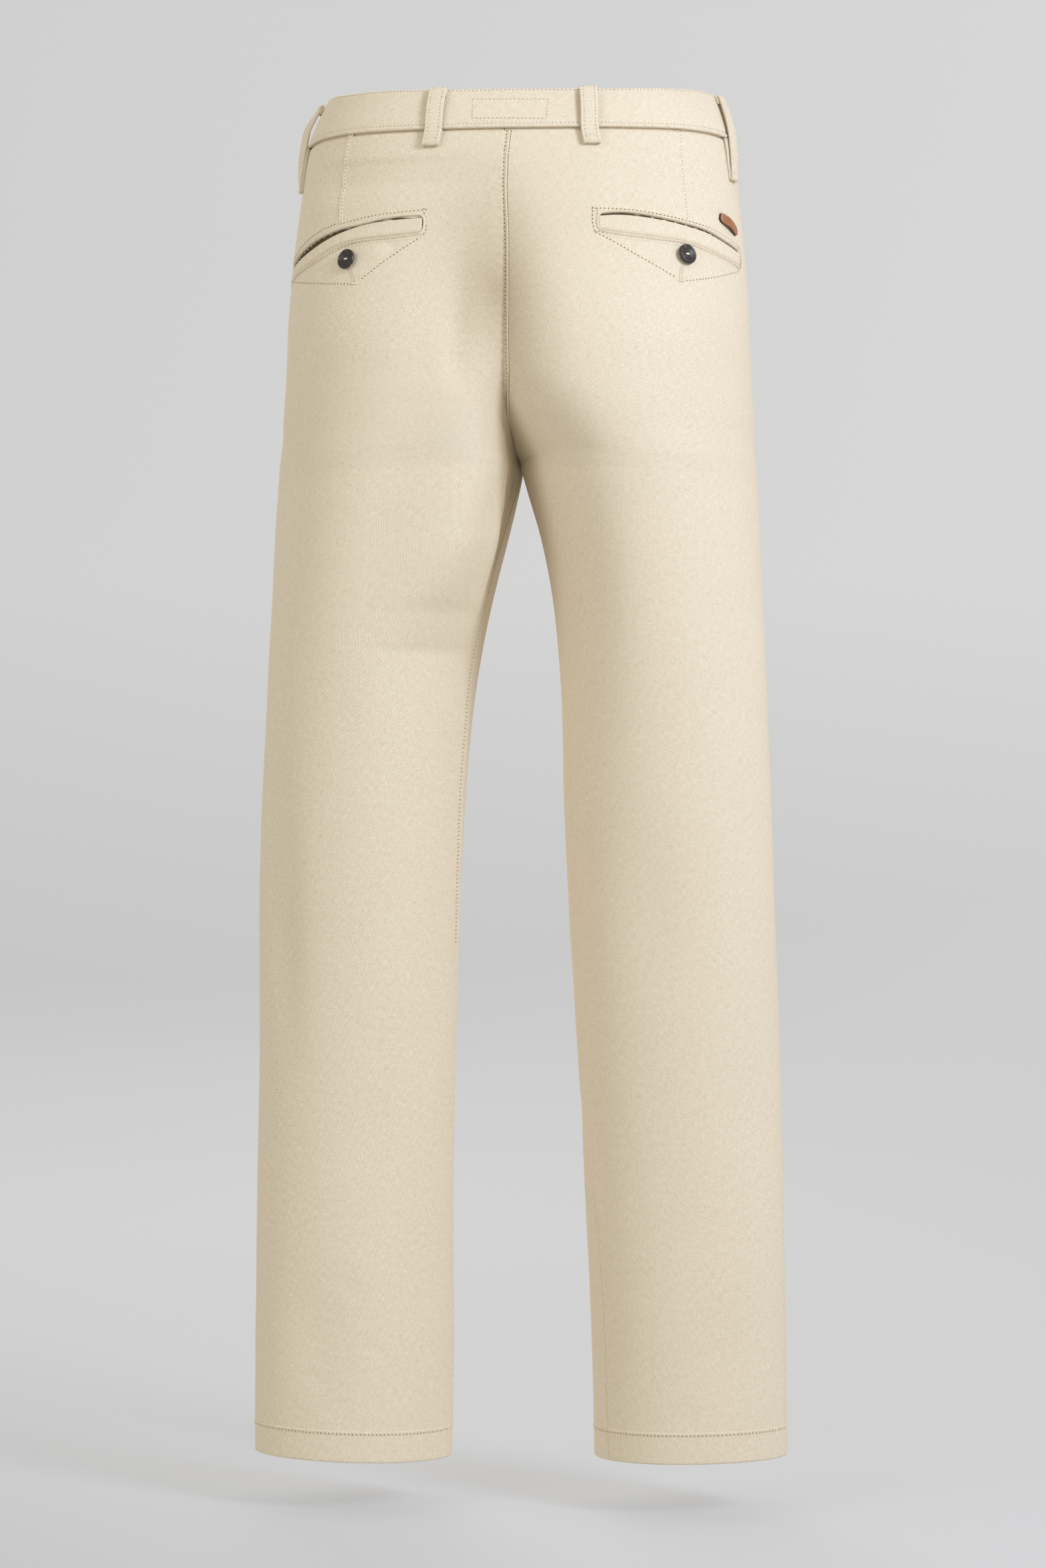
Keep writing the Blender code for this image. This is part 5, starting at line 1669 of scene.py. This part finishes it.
for row in BUTTONS:
    button = dict(zip(BUTTON_NAMES, row))
    side, angle, drop = button["side"], button["angle"], button["drop"]
    normal = Vector(outward(side, angle, drop))
    centre = lay(side, np.array([angle]), np.array([drop]), button["seat"] + BUTTON_HALF)[0]
    upward = (Vector((0, 0, 1)) - normal * normal.z).normalized()
    across = upward.cross(normal)
    facing = Matrix((across, upward, normal)).transposed().to_4x4()
    place = Matrix.Translation(Vector(centre) / 1000) @ facing
    place = place @ Matrix.Rotation(math.radians(button["tilt"]), 4, "Y")
    turned = bmesh.new()
    spots = []
    for reach, height in BUTTON_PROFILE:
        spots.append(turned.verts.new((reach * BUTTON_RADIUS, 0, height * BUTTON_HALF)))
    outline_edges = [turned.edges.new(pair) for pair in zip(spots, spots[1:])]
    bmesh.ops.spin(
        turned, geom=spots + outline_edges, cent=(0, 0, 0), axis=(0, 0, 1), angle=math.tau,
        steps=BUTTON_STEPS, use_merge=True,
    )
    bmesh.ops.remove_doubles(turned, verts=turned.verts, dist=0.01)
    bmesh.ops.recalc_face_normals(turned, faces=turned.faces)
    bmesh.ops.scale(turned, vec=(0.001, 0.001, 0.001), verts=turned.verts)
    spun = Matrix.Rotation(math.radians(button["turn"]), 4, "Z")
    bmesh.ops.transform(turned, matrix=place @ spun, verts=turned.verts)
    mesh = bpy.data.meshes.new(button["name"] + "_horn")
    turned.to_mesh(mesh)
    turned.free()
    mesh.shade_smooth()
    mesh.set_sharp_from_angle(angle=BUTTON_CREASE)
    piece = new_piece(button["name"] + "_horn", mesh, "horn", HORN)
    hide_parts(button["name"])
    bar = []
    bar_place = place @ Matrix.Rotation(math.radians(button["turn"] - 90), 4, "Z")
    for lane in BAR_LANES:
        ends = [
            bar_place @ (Vector((way * BUTTON_HOLE_SPACING, lane, BAR_HEIGHT)) / 1000) * 1000
            for way in (-0.5, 0.5)
        ]
        add_stitch(bar, *ends, normal, BAR_THREAD)
    sewing_piece("thread_" + button["name"], bar)

# Leather tab -------------------------------------------------------------------------------------
# A short bare tab of tan leather on the right hip, sewn down at its two ends. Its cut edge is painted
# nearly black, as the shade along and under the tab's edge.
TAB_ENDS = ((62.6, 108.0), (75.4, 117.6))
TAB_WIDTH = 8.0
TAB_WALL = 1.6
# How far its middle bows out, and the share by which its ends narrow
TAB_BOW = 1.2
TAB_ROUNDING = 0.45
TAB_STEPS = 25
TAB_SEWING = 0.32
TAB_NEEDLES = 12
# Share of the width and lift round the tab's cross-section
TAB_PROFILE = (
    (-0.5, 0.3), (-0.5, TAB_WALL - 0.1), (-0.44, TAB_WALL + 0.25), (0.0, TAB_WALL + 0.3),
    (0.44, TAB_WALL + 0.25), (0.5, TAB_WALL - 0.1), (0.5, 0.3), (0.0, 0.3),
)
# A face that looks outward by less than this share belongs to the cut edge, which gets the painted shade
SHADED_EDGE_FACES = 0.6
LEATHER_PATCH = 6.25
LEATHER_PORE = 0.714
PORE_DEPTH = 0.0001
EDGE_SHADE_MOTTLE = 1.11


def tan_leather():
    """Vegetable-tanned leather: fine pores, slightly mottled, a low sheen."""
    material, tree, shader = new_material("vegetable-tanned leather, tan", Roughness=0.5)
    place, _ = mottle(tree, shader, LEATHER_PATCH, "#7c4a28", "#b9794a", detail=4.0)
    pores = add_node(
        tree, "ShaderNodeTexVoronoi", Vector=place.outputs["Object"], Scale=1000 / LEATHER_PORE
    )
    bump = add_node(
        tree, "ShaderNodeBump", Strength=0.4, Distance=PORE_DEPTH, Height=pores.outputs["Distance"]
    )
    tree.links.new(bump.outputs["Normal"], shader.inputs["Normal"])
    return material


def painted_edge_shade():
    """The cut edge of the leather, painted nearly black as the shade along it."""
    material, tree, shader = new_material("shade_painted leather edge", Roughness=0.6)
    mottle(tree, shader, EDGE_SHADE_MOTTLE, "#120e0b", "#2c221a", detail=2.0)
    return material


share = np.linspace(0, 1, TAB_STEPS)
(first_angle, first_drop), (last_angle, last_drop) = TAB_ENDS
tab_angles = first_angle + (last_angle - first_angle) * share
tab_drops = first_drop + (last_drop - first_drop) * share
bow = TAB_BOW * np.sin(np.pi * share) ** 2
# The corners of the tab are rounded off
tab_width = TAB_WIDTH * (1 - TAB_ROUNDING * np.abs(2 * share - 1) ** 9)
rows = []
for across, lift in TAB_PROFILE:
    rows.append(lay("right", *beside("right", tab_angles, tab_drops, across * tab_width), lift + bow))
tab = tube_cloth("tab_leather", np.array(rows).transpose(1, 0, 2), "leather", tan_leather())
# The edge faces take the painted shade
tab.data.materials.append(painted_edge_shade())
outer_way = Vector(outward("right", 70.0, 112.0))
for face in tab.data.polygons:
    face.material_index = 1 if abs(face.normal.dot(outer_way)) < SHADED_EDGE_FACES else 0
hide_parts("tab")
tab_threads = []
for spot in (1, TAB_STEPS - 2):
    across = np.linspace(-TAB_SEWING, TAB_SEWING, TAB_NEEDLES) * TAB_WIDTH
    points = lay("right", tab_angles[spot], tab_drops[spot] + across, TAB_WALL + 0.4 + bow[spot])
    facing = outward("right", tab_angles[spot], np.full(TAB_NEEDLES, tab_drops[spot]))
    sew_through(tab_threads, points, facing, pitch=1.2, slant=0.3, thickness=0.6)
sewing_piece("stitches_tab", tab_threads)
